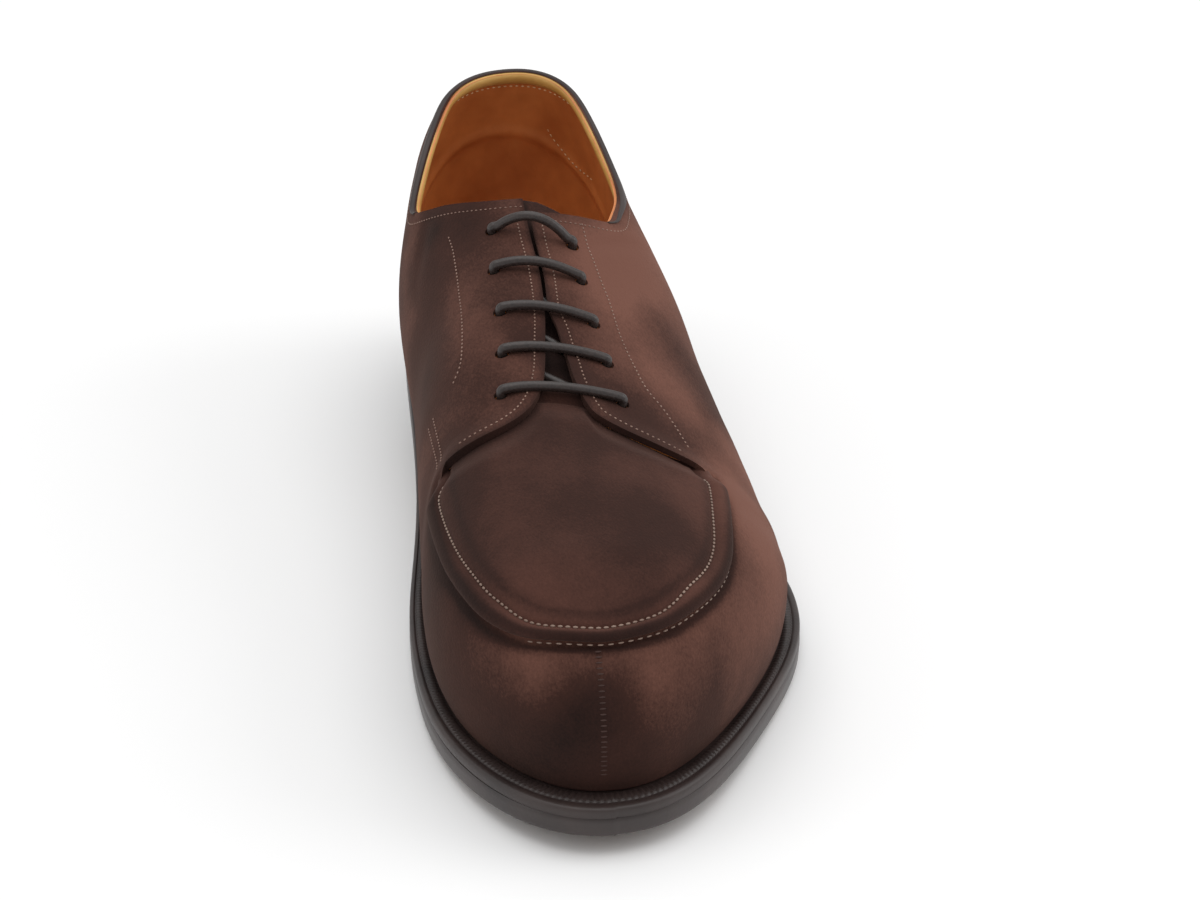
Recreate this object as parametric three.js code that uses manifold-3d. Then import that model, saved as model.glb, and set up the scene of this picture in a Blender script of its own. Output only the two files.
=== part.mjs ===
// Apron toe derby, a lace-up shoe for the left foot, modelled in millimetres.
// The toe points to -Y, the outer side of the foot is +X and the ground is z = 0.
// Shapes are worked out along the last: s runs from the back of the heel to the toe.

import * as THREE from 'three'
import { mergeVertices } from 'three/addons/utils/BufferGeometryUtils.js'
import Module from 'manifold-3d'

const wasm = await Module()
wasm.setup()

// Driving dimensions
const UPPER_LENGTH = 301.2
const LATERAL_BALL = 54.6
const MEDIAL_BALL = 43.5
const COUNTER_HEIGHT = 50.3
const CROWN_HEIGHT = 104.6
const HEEL_SEAT_HEIGHT = 26
const TOE_SPRING = 5.5
const TOE_SWING = 3.7
const TOE_ROUND_LENGTH = 86
const TOE_TAPER_LENGTH = 42
const HEEL_ROUND_LENGTH = 31.5
const HEEL_TAPER_LENGTH = 26
const FEATHER_TUCK = 3.7
const WELT_MARGIN = 7.2
const COLLAR_HEIGHT = 0.961 * CROWN_HEIGHT

const WALL = 2.2
const OUTSOLE_THICKNESS = 5.1
const WELT_THICKNESS = 3
const INSOLE_STAND = 1.5
const TOP_PIECE_THICKNESS = 6
const HEEL_LENGTH = 74
const BREAST_HOLLOW = 3
const HEEL_INSET = 0.8
const TOP_PIECE_INSET = 1.4
const GAP = 0.3

const APRON_HALF_WIDTH = 38.8
const APRON_RISE = 1.2
const APRON_DIP = 1
const APRON_UNDERLAP = 1.6

const TONGUE_THICKNESS = 2
const TONGUE_DROP = 4.8
const TONGUE_HALF_WIDTH = 24

const LACE_RADIUS = 1.4
const LACE_HOLE_RADIUS = 2.1
const LACE_STAND_OFF = 0.35
const BAR_HALF_WIDTH = 16.6

// The last: half widths and heights at stations, as shares of the driving dimensions.
const LAST = [
  { at: 0, lateral: 0.513, medial: 0.644, bulge: 1, crown: 0.989, lean: 0.08 },
  { at: 0.116, lateral: 0.604, medial: 0.759, bulge: 0.976, crown: 1, lean: 0.069 },
  { at: 0.249, lateral: 0.697, medial: 0.897, bulge: 0.903, crown: 0.941, lean: 0 },
  { at: 0.365, lateral: 0.832, medial: 0.903, bulge: 0.761, crown: 0.815, lean: -0.085 },
  { at: 0.481, lateral: 0.91, medial: 0.897, bulge: 0.596, crown: 0.725, lean: -0.202 },
  { at: 0.581, lateral: 0.965, medial: 0.924, bulge: 0.501, crown: 0.651, lean: -0.253 },
  { at: 0.681, lateral: 1.01, medial: 0.963, bulge: 0.457, crown: 0.591, lean: -0.253 },
  { at: 0.77, lateral: 0.975, medial: 0.984, bulge: 0.451, crown: 0.567, lean: -0.195 },
  { at: 0.87, lateral: 0.855, medial: 1, bulge: 0.465, crown: 0.55, lean: -0.115 },
  { at: 1, lateral: 0.652, medial: 0.871, bulge: 0.527, crown: 0.543, lean: -0.069 },
]

// How square each side's section is over its widest line: 2 is a plain ellipse.
const SQUARENESS = [
  { at: 0, lateral: 2.24, medial: 2.2 },
  { at: 0.116, lateral: 2.22, medial: 2.22 },
  { at: 0.249, lateral: 2.08, medial: 2.16 },
  { at: 0.365, lateral: 1.98, medial: 2.11 },
  { at: 0.481, lateral: 1.76, medial: 2.12 },
  { at: 0.581, lateral: 1.7, medial: 2.2 },
  { at: 0.681, lateral: 1.73, medial: 2.3 },
  { at: 0.77, lateral: 1.95, medial: 2.36 },
  { at: 0.87, lateral: 2.2, medial: 2.4 },
  { at: 1, lateral: 2.36, medial: 2.4 },
]

// Underside of the outsole: the heel column is a share of the seat height, and the toe
// column is a share of the toe spring.
const SOLE_RISE = [
  { at: 0, heel: 1, toe: 0 },
  { at: 0.133, heel: 0.977, toe: 0 },
  { at: 0.252, heel: 0.885, toe: 0 },
  { at: 0.365, heel: 0.577, toe: 0 },
  { at: 0.475, heel: 0.215, toe: 0 },
  { at: 0.558, heel: 0.035, toe: 0 },
  { at: 0.614, heel: 0, toe: 0 },
  { at: 0.691, heel: 0, toe: 0 },
  { at: 0.78, heel: 0, toe: 0.164 },
  { at: 0.88, heel: 0, toe: 0.418 },
  { at: 1.016, heel: 0, toe: 1 },
]

// How far the upper tucks in to the welt, and how far the welt stands out of it.
const MARGINS = [
  { at: 0, tuck: 0.89, lateralWelt: 0.39, medialWelt: 0.39 },
  { at: 0.249, tuck: 1, lateralWelt: 0.39, medialWelt: 0.31 },
  { at: 0.481, tuck: 0.757, lateralWelt: 0.44, medialWelt: 0.44 },
  { at: 0.681, tuck: 0.16, lateralWelt: 0.75, medialWelt: 0.56 },
  { at: 0.87, tuck: 0.865, lateralWelt: 0.64, medialWelt: 0.78 },
  { at: 1, tuck: 0.46, lateralWelt: 1, medialWelt: 1.04 },
]

// Side views of the collar's edge, from the back of the heel to the throat. The medial side
// dips before the facing, and the lateral one runs low up to the facing's corner.
const COLLAR_LINE = [
  { at: -0.1, medial: 1, lateral: 1 },
  { at: 0.027, medial: 0.995, lateral: 0.995 },
  { at: 0.1, medial: 0.91, lateral: 0.91 },
  { at: 0.165, medial: 0.83, lateral: 0.828 },
  { at: 0.2, medial: 0.783, lateral: 0.8 },
  { at: 0.238, medial: 0.737, lateral: 0.79 },
  { at: 0.27, medial: 0.762, lateral: 0.788 },
  { at: 0.3, medial: 0.812, lateral: 0.788 },
  { at: 0.325, medial: 0.85, lateral: 0.786 },
  { at: 0.345, medial: 0.88, lateral: 0.789 },
  { at: 0.358, medial: 0.925, lateral: 0.83 },
  { at: 0.368, medial: 1, lateral: 0.93 },
  { at: 0.385, medial: 1.25, lateral: 1.25 },
]

// Plan of the apron's outer edge from the medial corner round the toe; across is a share
// of its half width.
const APRON_EDGE = [
  { at: 0.674, across: -0.959 },
  { at: 0.72, across: -1 },
  { at: 0.814, across: -0.954 },
  { at: 0.883, across: -0.832 },
  { at: 0.922, across: -0.675 },
  { at: 0.947, across: -0.477 },
  { at: 0.96, across: -0.12 },
  { at: 0.95, across: 0.2 },
  { at: 0.927, across: 0.433 },
  { at: 0.883, across: 0.693 },
  { at: 0.837, across: 0.835 },
  { at: 0.779, across: 0.915 },
  { at: 0.723, across: 0.967 },
  { at: 0.686, across: 0.95 },
]

// Front edges of the facings, from the top of the throat out to the apron's corners.
const MEDIAL_FACING = [
  { at: 0.3, across: -0.075 },
  { at: 0.35, across: -0.075 },
  { at: 0.402, across: -0.06 },
  { at: 0.448, across: -0.042 },
  { at: 0.506, across: -0.056 },
  { at: 0.559, across: -0.102 },
  { at: 0.6, across: -0.148 },
  { at: 0.632, across: -0.226 },
  { at: 0.655, across: -0.34 },
  { at: 0.669, across: -0.5 },
  { at: 0.672, across: -0.7 },
  { at: 0.667, across: -0.87 },
]
const LATERAL_FACING = [
  { at: 0.3, across: -0.04 },
  { at: 0.35, across: -0.04 },
  { at: 0.402, across: -0.028 },
  { at: 0.448, across: -0.012 },
  { at: 0.5, across: -0.022 },
  { at: 0.53, across: 0.016 },
  { at: 0.589, across: 0.05 },
  { at: 0.612, across: 0.076 },
  { at: 0.635, across: 0.118 },
  { at: 0.65, across: 0.18 },
  { at: 0.664, across: 0.35 },
  { at: 0.674, across: 0.58 },
  { at: 0.68, across: 0.8 },
]

// Where the apron ends under the facings, from the lateral corner back to the medial one.
const APRON_TOP = [
  { at: 0.668, across: 0.93 },
  { at: 0.652, across: 0.6 },
  { at: 0.636, across: 0.36 },
  { at: 0.612, across: 0.19 },
  { at: 0.612, across: -0.36 },
  { at: 0.636, across: -0.5 },
  { at: 0.645, across: -0.8 },
  { at: 0.655, across: -0.95 },
]

// The tongue's plan, as shares of its own half width, from its top corner down one side
// and up the other.
const TONGUE_OUTLINE = [
  { at: 0.322, across: -0.7 },
  { at: 0.337, across: -0.94 },
  { at: 0.4, across: -1 },
  { at: 0.52, across: -0.98 },
  { at: 0.63, across: -0.86 },
  { at: 0.65, across: -0.7 },
  { at: 0.65, across: 0.38 },
  { at: 0.63, across: 0.52 },
  { at: 0.52, across: 0.76 },
  { at: 0.4, across: 0.84 },
  { at: 0.365, across: 0.76 },
  { at: 0.347, across: 0.5 },
]

// The lace bars from the top of the throat down: each end's station and its distance from
// the middle line, and the arch in the middle; the last two are shares of the bars' half width.
const LACE_BARS = [
  { medialAt: 0.379, medial: -0.797, lateralAt: 0.401, lateral: 0.585, arch: 0.26 },
  { medialAt: 0.439, medial: -0.87, lateralAt: 0.451, lateral: 0.62, arch: 0.07 },
  { medialAt: 0.505, medial: -0.885, lateralAt: 0.511, lateral: 0.688, arch: 0.03 },
  { medialAt: 0.564, medial: -0.96, lateralAt: 0.565, lateral: 0.78, arch: 0.015 },
  { medialAt: 0.62, medial: -1.08, lateralAt: 0.619, lateral: 0.9, arch: 0 },
]

// Natural cubic spline through one column of a table, as a function of s.
function curve(table, column, size) {
  const at = table.map((row) => row.at * UPPER_LENGTH)
  const value = table.map((row) => row[column] * size)
  const last = at.length - 1
  const bend = new Array(last + 1).fill(0)
  const work = new Array(last + 1).fill(0)
  for (let i = 1; i < last; i++) {
    const part = (at[i] - at[i - 1]) / (at[i + 1] - at[i - 1])
    const pivot = part * bend[i - 1] + 2
    const right = (value[i + 1] - value[i]) / (at[i + 1] - at[i])
    const left = (value[i] - value[i - 1]) / (at[i] - at[i - 1])
    bend[i] = (part - 1) / pivot
    work[i] = (6 * (right - left) / (at[i + 1] - at[i - 1]) - part * work[i - 1]) / pivot
  }
  for (let i = last - 1; i > 0; i--) {
    bend[i] = bend[i] * bend[i + 1] + work[i]
  }
  bend[0] = 0
  return (s) => {
    let i = 0
    while (i < last - 1 && s > at[i + 1]) {
      i += 1
    }
    const span = at[i + 1] - at[i]
    const b = (Math.min(Math.max(s, at[0]), at[last]) - at[i]) / span
    const a = 1 - b
    const cubic = (a ** 3 - a) * bend[i] + (b ** 3 - b) * bend[i + 1]
    return a * value[i] + b * value[i + 1] + cubic * span ** 2 / 6
  }
}

const lateralWidth = curve(LAST, 'lateral', LATERAL_BALL)
const medialWidth = curve(LAST, 'medial', MEDIAL_BALL)
const bulgeHeight = curve(LAST, 'bulge', COUNTER_HEIGHT)
const crownHeight = curve(LAST, 'crown', CROWN_HEIGHT)
const ridgeLean = curve(LAST, 'lean', MEDIAL_BALL)
const lateralSquare = curve(SQUARENESS, 'lateral', 1)
const medialSquare = curve(SQUARENESS, 'medial', 1)
const heelRise = curve(SOLE_RISE, 'heel', HEEL_SEAT_HEIGHT)
const toeRise = curve(SOLE_RISE, 'toe', TOE_SPRING)
const tuckIn = curve(MARGINS, 'tuck', FEATHER_TUCK)
const lateralWelt = curve(MARGINS, 'lateralWelt', WELT_MARGIN)
const medialWelt = curve(MARGINS, 'medialWelt', WELT_MARGIN)
const medialCollar = curve(COLLAR_LINE, 'medial', COLLAR_HEIGHT)
const lateralCollar = curve(COLLAR_LINE, 'lateral', COLLAR_HEIGHT)

const SOLE_STACK = OUTSOLE_THICKNESS + GAP + WELT_THICKNESS
const FLAT_FROM = 0.614 * UPPER_LENGTH
const FLAT_TO = 0.691 * UPPER_LENGTH
const SWING_FROM = 0.62 * UPPER_LENGTH

// Height of the outsole's underside, with a flat tread under the ball.
function soleRise(s) {
  if (s > FLAT_FROM && s < FLAT_TO) {
    return 0
  }
  return Math.max(0, heelRise(s) + toeRise(s))
}

// Height at which the upper meets the welt.
function featherHeight(s) {
  return soleRise(s) + SOLE_STACK + GAP
}

// The centreline bends to the medial side at the toe.
function centreLine(s) {
  const share = Math.max(0, (s - SWING_FROM) / (UPPER_LENGTH - SWING_FROM))
  return -TOE_SWING * share ** 2
}

// A rounded end: 1 along the middle, falling to 0 at either tip.
function roundEnds(s, heel, toe, power) {
  const back = Math.min(1, Math.max(0, (heel.tip + heel.length - s) / heel.length))
  const front = Math.min(1, Math.max(0, (s - toe.tip + toe.length) / toe.length))
  return ((1 - back ** power) * (1 - front ** power)) ** (1 / power)
}

const PLAN_POWER = 2.15
const SIDE_POWER = 2

// Negative inside the last grown by grow(s), positive outside it.
function lastField(x, s, z, grow) {
  const bulge = bulgeHeight(s)
  const depth = Math.max(0, (bulge - z) / (bulge - featherHeight(s))) ** 2
  const heelGrow = grow(0) - tuckIn(0) * depth
  const toeGrow = grow(UPPER_LENGTH) - tuckIn(UPPER_LENGTH) * depth
  const heelTip = -heelGrow
  const toeTip = UPPER_LENGTH + toeGrow
  if (s <= heelTip || s >= toeTip) {
    return 1
  }
  const heelRound = { tip: heelTip, length: HEEL_ROUND_LENGTH + heelGrow }
  const toeRound = { tip: toeTip, length: TOE_ROUND_LENGTH + toeGrow }
  const plan = roundEnds(s, heelRound, toeRound, PLAN_POWER)
  const side = grow(s) - tuckIn(s) * depth
  const across = x - centreLine(s)
  if (z < bulge) {
    const half = (across > 0 ? lateralWidth(s) : medialWidth(s)) + side
    return Math.abs(across) / (half * plan) - 1
  }
  const ridge = ridgeLean(s) * plan
  const outer = across > ridge
  const outerHalf = (lateralWidth(s) + side) * plan - ridge
  const innerHalf = (medialWidth(s) + side) * plan + ridge
  const half = outer ? outerHalf : innerHalf
  const power = outer ? lateralSquare(s) : medialSquare(s)
  const heelTaper = { tip: heelTip, length: HEEL_TAPER_LENGTH + heelGrow }
  const toeTaper = { tip: toeTip, length: TOE_TAPER_LENGTH + toeGrow }
  const slope = roundEnds(s, heelTaper, toeTaper, SIDE_POWER)
  const rise = (crownHeight(s) + grow(s) - bulge) * slope
  return (Math.abs(across - ridge) / half) ** power + ((z - bulge) / rise) ** power - 1
}

const SEARCH_REACH = 220
const SEARCH_STEPS = 26

// Distance along a ray that starts inside a form to the form's surface.
function reach(field) {
  let near = 0
  let far = SEARCH_REACH
  for (let step = 0; step < SEARCH_STEPS; step++) {
    const middle = (near + far) / 2
    if (field(middle) < 0) {
      near = middle
    } else {
      far = middle
    }
  }
  return near
}

// Columns run round the last: from the heel's back along the lateral side to the toe,
// and back along the medial side.
const SPINE_BACK = 0.15 * UPPER_LENGTH
const SPINE_FRONT = 0.714 * UPPER_LENGTH
const HEEL_FAN = 9
const STRAIGHT = 13
const TOE_FAN = 14
const TIP_CROWDING = 1.25
const HALF_RING = HEEL_FAN + STRAIGHT + TOE_FAN
const RING = 2 * HALF_RING

function column(index) {
  const side = index > HALF_RING ? -1 : 1
  const k = side > 0 ? index : RING - index
  let along = 0
  let turn = 0
  if (k < HEEL_FAN) {
    turn = ((k / HEEL_FAN) ** TIP_CROWDING - 1) * Math.PI / 2
  } else if (k > HEEL_FAN + STRAIGHT) {
    along = 1
    turn = (1 - ((HALF_RING - k) / TOE_FAN) ** TIP_CROWDING) * Math.PI / 2
  } else {
    along = (k - HEEL_FAN) / STRAIGHT
  }
  const s = SPINE_BACK + (SPINE_FRONT - SPINE_BACK) * along
  return { x: centreLine(s), s, dx: side * Math.cos(turn), ds: Math.sin(turn) }
}

const LOWER_ROWS = [0, 0.33, 0.66]
const INNER_LOWER_ROWS = [-0.3, 0.1, 0.55]
const UPPER_ROWS = [0, 8, 16, 25, 34, 43, 52, 60, 67, 73, 79, 85]

// Point of the grown last on a column, at a share of the height from the feather to the widest line.
function lowerPoint(ray, share, grow) {
  const place = (r) => {
    const s = ray.s + ray.ds * r
    const z = featherHeight(s) + share * (bulgeHeight(s) - featherHeight(s))
    return [ray.x + ray.dx * r, s, z]
  }
  return place(reach((r) => lastField(...place(r), grow)))
}

// Point of the grown last on a column, seen from the spine at an angle above the widest line.
function upperPoint(ray, degrees, base, grow) {
  const angle = THREE.MathUtils.degToRad(degrees)
  const place = (r) => {
    const flat = r * Math.cos(angle)
    return [ray.x + ray.dx * flat, ray.s + ray.ds * flat, base + r * Math.sin(angle)]
  }
  return place(reach((r) => lastField(...place(r), grow)))
}

// Outline of the upper where it meets the welt, pushed out by a distance that may change with side and s.
function featherPoint(index) {
  return lowerPoint(column(index % RING), 0, () => 0)
}

function edgePoint(index, out) {
  const before = featherPoint(index + RING - 1)
  const here = featherPoint(index)
  const after = featherPoint(index + 1)
  const dx = after[0] - before[0]
  const ds = after[1] - before[1]
  const length = Math.hypot(dx, ds)
  const push = out(here[1], index <= HALF_RING)
  return [here[0] + ds / length * push, here[1] - dx / length * push]
}

function weltOut(s, lateral) {
  return lateral ? lateralWelt(s) : medialWelt(s)
}

const soleEdge = Array.from({ length: RING }, (_, index) => edgePoint(index, weltOut))

// The origin lies in the middle of the sole's footprint.
const widths = soleEdge.map((point) => point[0])
const lengths = soleEdge.map((point) => point[1])
const CENTRE_X = (Math.max(...widths) + Math.min(...widths)) / 2
const CENTRE_S = (Math.max(...lengths) + Math.min(...lengths)) / 2

function toFrame(point) {
  return [point[0] - CENTRE_X, CENTRE_S - point[1], point[2]]
}

// A closed solid from points of the last's frame and their triangles, turned so that its faces point out.
function solidFrom(points, triangles) {
  const placed = points.map(toFrame)
  let volume = 0
  for (const [a, b, c] of triangles) {
    const [p, q, r] = [placed[a], placed[b], placed[c]].map((v) => new THREE.Vector3(...v))
    volume += p.dot(q.cross(r))
  }
  const wound = volume > 0 ? triangles : triangles.map(([a, b, c]) => [a, c, b])
  const mesh = new wasm.Mesh({
    numProp: 3,
    vertProperties: new Float32Array(placed.flat()),
    triVerts: new Uint32Array(wound.flat()),
  })
  return new wasm.Manifold(mesh)
}

function quad(a, b, c, d) {
  return [[a, b, c], [a, c, d]]
}

// Triangles across a closed ring of the last, from the lateral columns to the medial ones.
function lid(first) {
  const faces = []
  faces.push([first, first + 1, first + RING - 1])
  for (let k = 1; k < HALF_RING - 1; k++) {
    faces.push(...quad(first + k, first + k + 1, first + RING - k - 1, first + RING - k))
  }
  faces.push([first + HALF_RING - 1, first + HALF_RING, first + HALF_RING + 1])
  return faces
}

// Rings of points, lowest first, joined into one closed solid.
function stack(rings) {
  const faces = lid(0).map(([a, b, c]) => [a, c, b])
  for (let row = 0; row < rings.length - 1; row++) {
    for (let k = 0; k < RING; k++) {
      const next = (k + 1) % RING
      faces.push(...quad(row * RING + k, row * RING + next, (row + 1) * RING + next, (row + 1) * RING + k))
    }
  }
  faces.push(...lid((rings.length - 1) * RING))
  return solidFrom(rings.flat(), faces)
}

// The whole last, grown by grow(s) all over, as one closed form.
function lastForm(grow, lowerRows) {
  const rings = lowerRows.map((share) => {
    return Array.from({ length: RING }, (_, index) => lowerPoint(column(index), share, grow))
  })
  const bases = Array.from({ length: RING }, (_, index) => lowerPoint(column(index), 1, grow)[2])
  for (const degrees of UPPER_ROWS) {
    rings.push(bases.map((base, index) => upperPoint(column(index), degrees, base, grow)))
  }
  return stack(rings)
}

// A slab of the sole between two surfaces that follow its underside.
function soleSlab(edge, low, high) {
  const ring = (lift) => edge.map(([x, s]) => [x, s, soleRise(s) + lift])
  return stack([ring(low), ring(high)])
}

// A prism over a closed outline; place turns outline and depth into a point of the last's frame.
function prism(outline, low, high, place) {
  const flat = outline.map(([u, v]) => new THREE.Vector2(u, v))
  const faces = THREE.ShapeUtils.triangulateShape(flat, [])
  const count = outline.length
  const points = [low, high].flatMap((depth) => outline.map(([u, v]) => place(u, v, depth)))
  const triangles = faces.map(([a, b, c]) => [a, c, b])
  triangles.push(...faces.map((face) => face.map((index) => index + count)))
  for (let k = 0; k < count; k++) {
    const next = (k + 1) % count
    const wall = quad(k, next, next + count, k + count)
    triangles.push(...wall)
  }
  if (THREE.ShapeUtils.isClockWise(flat)) {
    for (let k = 2 * faces.length; k < triangles.length; k++) {
      triangles[k].reverse()
    }
  }
  return solidFrom(points, triangles)
}

const planPlace = (x, s, z) => [x, s, z]
const sidePlace = (s, z, x) => [x, s, z]

// Points of a table in plan, with a smooth line drawn through them.
function planLine(table, half, steps) {
  const corners = table.map((row) => new THREE.Vector2(row.across * half, row.at * UPPER_LENGTH))
  return new THREE.SplineCurve(corners).getPoints(steps).map((point) => [point.x, point.y])
}

// The same line moved sideways by a distance, to its right as it runs.
function shiftLine(line, distance) {
  return line.map((point, index) => {
    const before = line[Math.max(0, index - 1)]
    const after = line[Math.min(line.length - 1, index + 1)]
    const du = after[0] - before[0]
    const dv = after[1] - before[1]
    const length = Math.hypot(du, dv)
    return [point[0] + dv / length * distance, point[1] - du / length * distance]
  })
}

const PLAN_FLOOR = 32
const PLAN_TOP = 150
const APRON_STEPS = 34
const FACING_STEPS = 20

const material = (color, roughness) => new THREE.MeshStandardMaterial({ color, roughness, metalness: 0 })
const suede = material(0x4b2f28, 0.95)
const suedeDark = material(0x3c2622, 0.95)
const edgeLeather = material(0x41342f, 0.5)
const weltLeather = material(0x3a2c28, 0.6)
const sockLeather = material(0x9a5a2c, 0.6)
const rubber = material(0x1f1c1b, 0.7)
const lace = material(0x4b413e, 0.6)

const shoe = new THREE.Group()

function addPiece(name, solid, look) {
  const data = solid.getMesh()
  const geometry = new THREE.BufferGeometry()
  geometry.setAttribute('position', new THREE.BufferAttribute(new Float32Array(data.vertProperties), 3))
  geometry.setIndex(new THREE.BufferAttribute(new Uint32Array(data.triVerts), 1))
  geometry.computeVertexNormals()
  const mesh = new THREE.Mesh(geometry, look)
  mesh.name = name
  shoe.add(mesh)
}

// Outsole: one leather sole from heel to toe
addPiece('outsole', soleSlab(soleEdge, 0, OUTSOLE_THICKNESS), edgeLeather)

// Welt: a strip right round the shoe, between the upper's edge and the outsole
const insoleOut = () => -(WALL + 2 * GAP)
const insoleEdge = Array.from({ length: RING }, (_, index) => edgePoint(index, insoleOut))
const weltInner = Array.from({ length: RING }, (_, index) => edgePoint(index, () => insoleOut() + GAP))
const WELT_LOW = OUTSOLE_THICKNESS + GAP
const WELT_HIGH = WELT_LOW + WELT_THICKNESS

function weltStrip() {
  const ring = (edge, lift) => edge.map(([x, s]) => [x, s, soleRise(s) + lift])
  const outside = [ring(soleEdge, WELT_LOW), ring(soleEdge, WELT_HIGH)]
  const rings = [...outside, ring(weltInner, WELT_HIGH), ring(weltInner, WELT_LOW)]
  const faces = []
  for (let row = 0; row < rings.length; row++) {
    const above = (row + 1) % rings.length
    for (let k = 0; k < RING; k++) {
      const next = (k + 1) % RING
      faces.push(...quad(row * RING + k, row * RING + next, above * RING + next, above * RING + k))
    }
  }
  return solidFrom(rings.flat(), faces)
}
addPiece('welt', weltStrip(), weltLeather)

// Insole: fills the welt's ring and stands a little over it, under the foot
const insoleTop = WELT_HIGH + INSOLE_STAND
addPiece('insole', soleSlab(insoleEdge, WELT_LOW, insoleTop), sockLeather)

// Heel: stacked leather lifts with a hollow front, on a rubber top piece that stands on the ground
function heelOutline(inset) {
  const edge = Array.from({ length: RING }, (_, index) => {
    return edgePoint(index, (s, lateral) => weltOut(s, lateral) - inset)
  })
  const lateral = edge.slice(0, HALF_RING).filter((point) => point[1] < HEEL_LENGTH)
  const medial = edge.slice(HALF_RING).filter((point) => point[1] < HEEL_LENGTH)
  const outerCorner = lateral[lateral.length - 1]
  const innerCorner = medial[0]
  const breast = new THREE.SplineCurve([
    new THREE.Vector2(outerCorner[0], HEEL_LENGTH),
    new THREE.Vector2((outerCorner[0] + innerCorner[0]) / 2, HEEL_LENGTH - BREAST_HOLLOW),
    new THREE.Vector2(innerCorner[0], HEEL_LENGTH),
  ])
  return [...lateral, ...breast.getPoints(8).map((point) => [point.x, point.y]), ...medial]
}

const HEEL_BLOCK_TOP = 60
const HEEL_CLEARANCE = 15
const liftBottom = TOP_PIECE_THICKNESS + GAP
const overHeel = Array.from({ length: RING }, (_, index) => edgePoint(index, () => HEEL_CLEARANCE))
const aboveHeel = soleSlab(overHeel, -GAP, HEEL_BLOCK_TOP)
const lifts = prism(heelOutline(HEEL_INSET), liftBottom, HEEL_BLOCK_TOP, planPlace).subtract(aboveHeel)
addPiece('heel_stack', lifts, edgeLeather)
addPiece('heel_top_piece', prism(heelOutline(TOP_PIECE_INSET), 0, TOP_PIECE_THICKNESS, planPlace), rubber)

// Upper: side piece with facings, and the apron sewn over it with a raised edge
const DIP_FROM = 0.64 * UPPER_LENGTH
const DIP_TO = 0.737 * UPPER_LENGTH

// The apron lies over the side piece at the toe and passes under the facings at the throat.
function apronGrow(s) {
  const share = THREE.MathUtils.smoothstep(s, DIP_FROM, DIP_TO)
  return -APRON_DIP + (APRON_RISE + APRON_DIP) * share
}

const apronEdge = planLine(APRON_EDGE, APRON_HALF_WIDTH, APRON_STEPS)
const apronTop = planLine(APRON_TOP, APRON_HALF_WIDTH, 12)
const medialFacing = planLine(MEDIAL_FACING, APRON_HALF_WIDTH, FACING_STEPS)
const lateralFacing = planLine(LATERAL_FACING, APRON_HALF_WIDTH, FACING_STEPS)
const seamEdge = shiftLine(apronEdge, APRON_UNDERLAP)
const openFront = [...medialFacing, ...seamEdge, ...lateralFacing.slice().reverse()]

const outerForm = lastForm(() => 0, LOWER_ROWS)
const innerForm = lastForm(() => -WALL, INNER_LOWER_ROWS)
const sidePiece = outerForm.subtract(prism(openFront, PLAN_FLOOR, PLAN_TOP, planPlace))
const apronForm = lastForm(apronGrow, LOWER_ROWS)
const apron = apronForm.intersect(prism([...apronEdge, ...apronTop], PLAN_FLOOR, PLAN_TOP, planPlace))

// The collar's opening is cut along its side view, on each side of the throat's gap.
const COLLAR_STEPS = 48
const COLLAR_HALF_SPAN = 90
const THROAT_MIDDLE = -0.0575 * APRON_HALF_WIDTH

function collarCutter(line, from, to) {
  const start = COLLAR_LINE[0].at * UPPER_LENGTH
  const end = COLLAR_LINE[COLLAR_LINE.length - 1].at * UPPER_LENGTH
  const outline = [[start, PLAN_TOP]]
  for (let step = 0; step <= COLLAR_STEPS; step++) {
    const s = start + (end - start) * step / COLLAR_STEPS
    outline.push([s, line(s)])
  }
  outline.push([end, PLAN_TOP])
  return prism(outline, from, to, sidePlace)
}

const medialCut = collarCutter(medialCollar, -COLLAR_HALF_SPAN, THROAT_MIDDLE)
const lateralCut = collarCutter(lateralCollar, THROAT_MIDDLE, COLLAR_HALF_SPAN)

// Height and outward direction of the side piece's surface over a point of its plan.
function surfaceHeight(x, s, lift) {
  const base = bulgeHeight(s)
  return base + reach((rise) => lastField(x, s, base + rise, () => lift))
}

const NUDGE = 0.5
function surfaceNormal(x, s) {
  const slopeX = (surfaceHeight(x + NUDGE, s, 0) - surfaceHeight(x - NUDGE, s, 0)) / (2 * NUDGE)
  const slopeS = (surfaceHeight(x, s + NUDGE, 0) - surfaceHeight(x, s - NUDGE, 0)) / (2 * NUDGE)
  return new THREE.Vector3(-slopeX, -slopeS, 1).normalize()
}

function surfacePoint(x, s, lift) {
  const foot = new THREE.Vector3(x, s, surfaceHeight(x, s, 0))
  return foot.addScaledVector(surfaceNormal(x, s), lift)
}

// Round rod along a path of points in the last's frame.
function rod(points, radius, sides, steps) {
  const placed = points.map((point) => new THREE.Vector3(...toFrame(point.toArray())))
  const path = new THREE.CatmullRomCurve3(placed)
  const section = new THREE.Shape()
  for (let side = 0; side < sides; side++) {
    const angle = 2 * Math.PI * side / sides
    const [u, v] = [radius * Math.cos(angle), radius * Math.sin(angle)]
    if (side === 0) {
      section.moveTo(u, v)
    } else {
      section.lineTo(u, v)
    }
  }
  section.closePath()
  const sweep = { steps, extrudePath: path, bevelEnabled: false, curveSegments: 1 }
  const raw = new THREE.ExtrudeGeometry(section, sweep)
  raw.deleteAttribute('normal')
  raw.deleteAttribute('uv')
  const merged = mergeVertices(raw)
  const mesh = new wasm.Mesh({
    numProp: 3,
    vertProperties: new Float32Array(merged.attributes.position.array),
    triVerts: new Uint32Array(merged.index.array),
  })
  return new wasm.Manifold(mesh)
}

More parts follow.
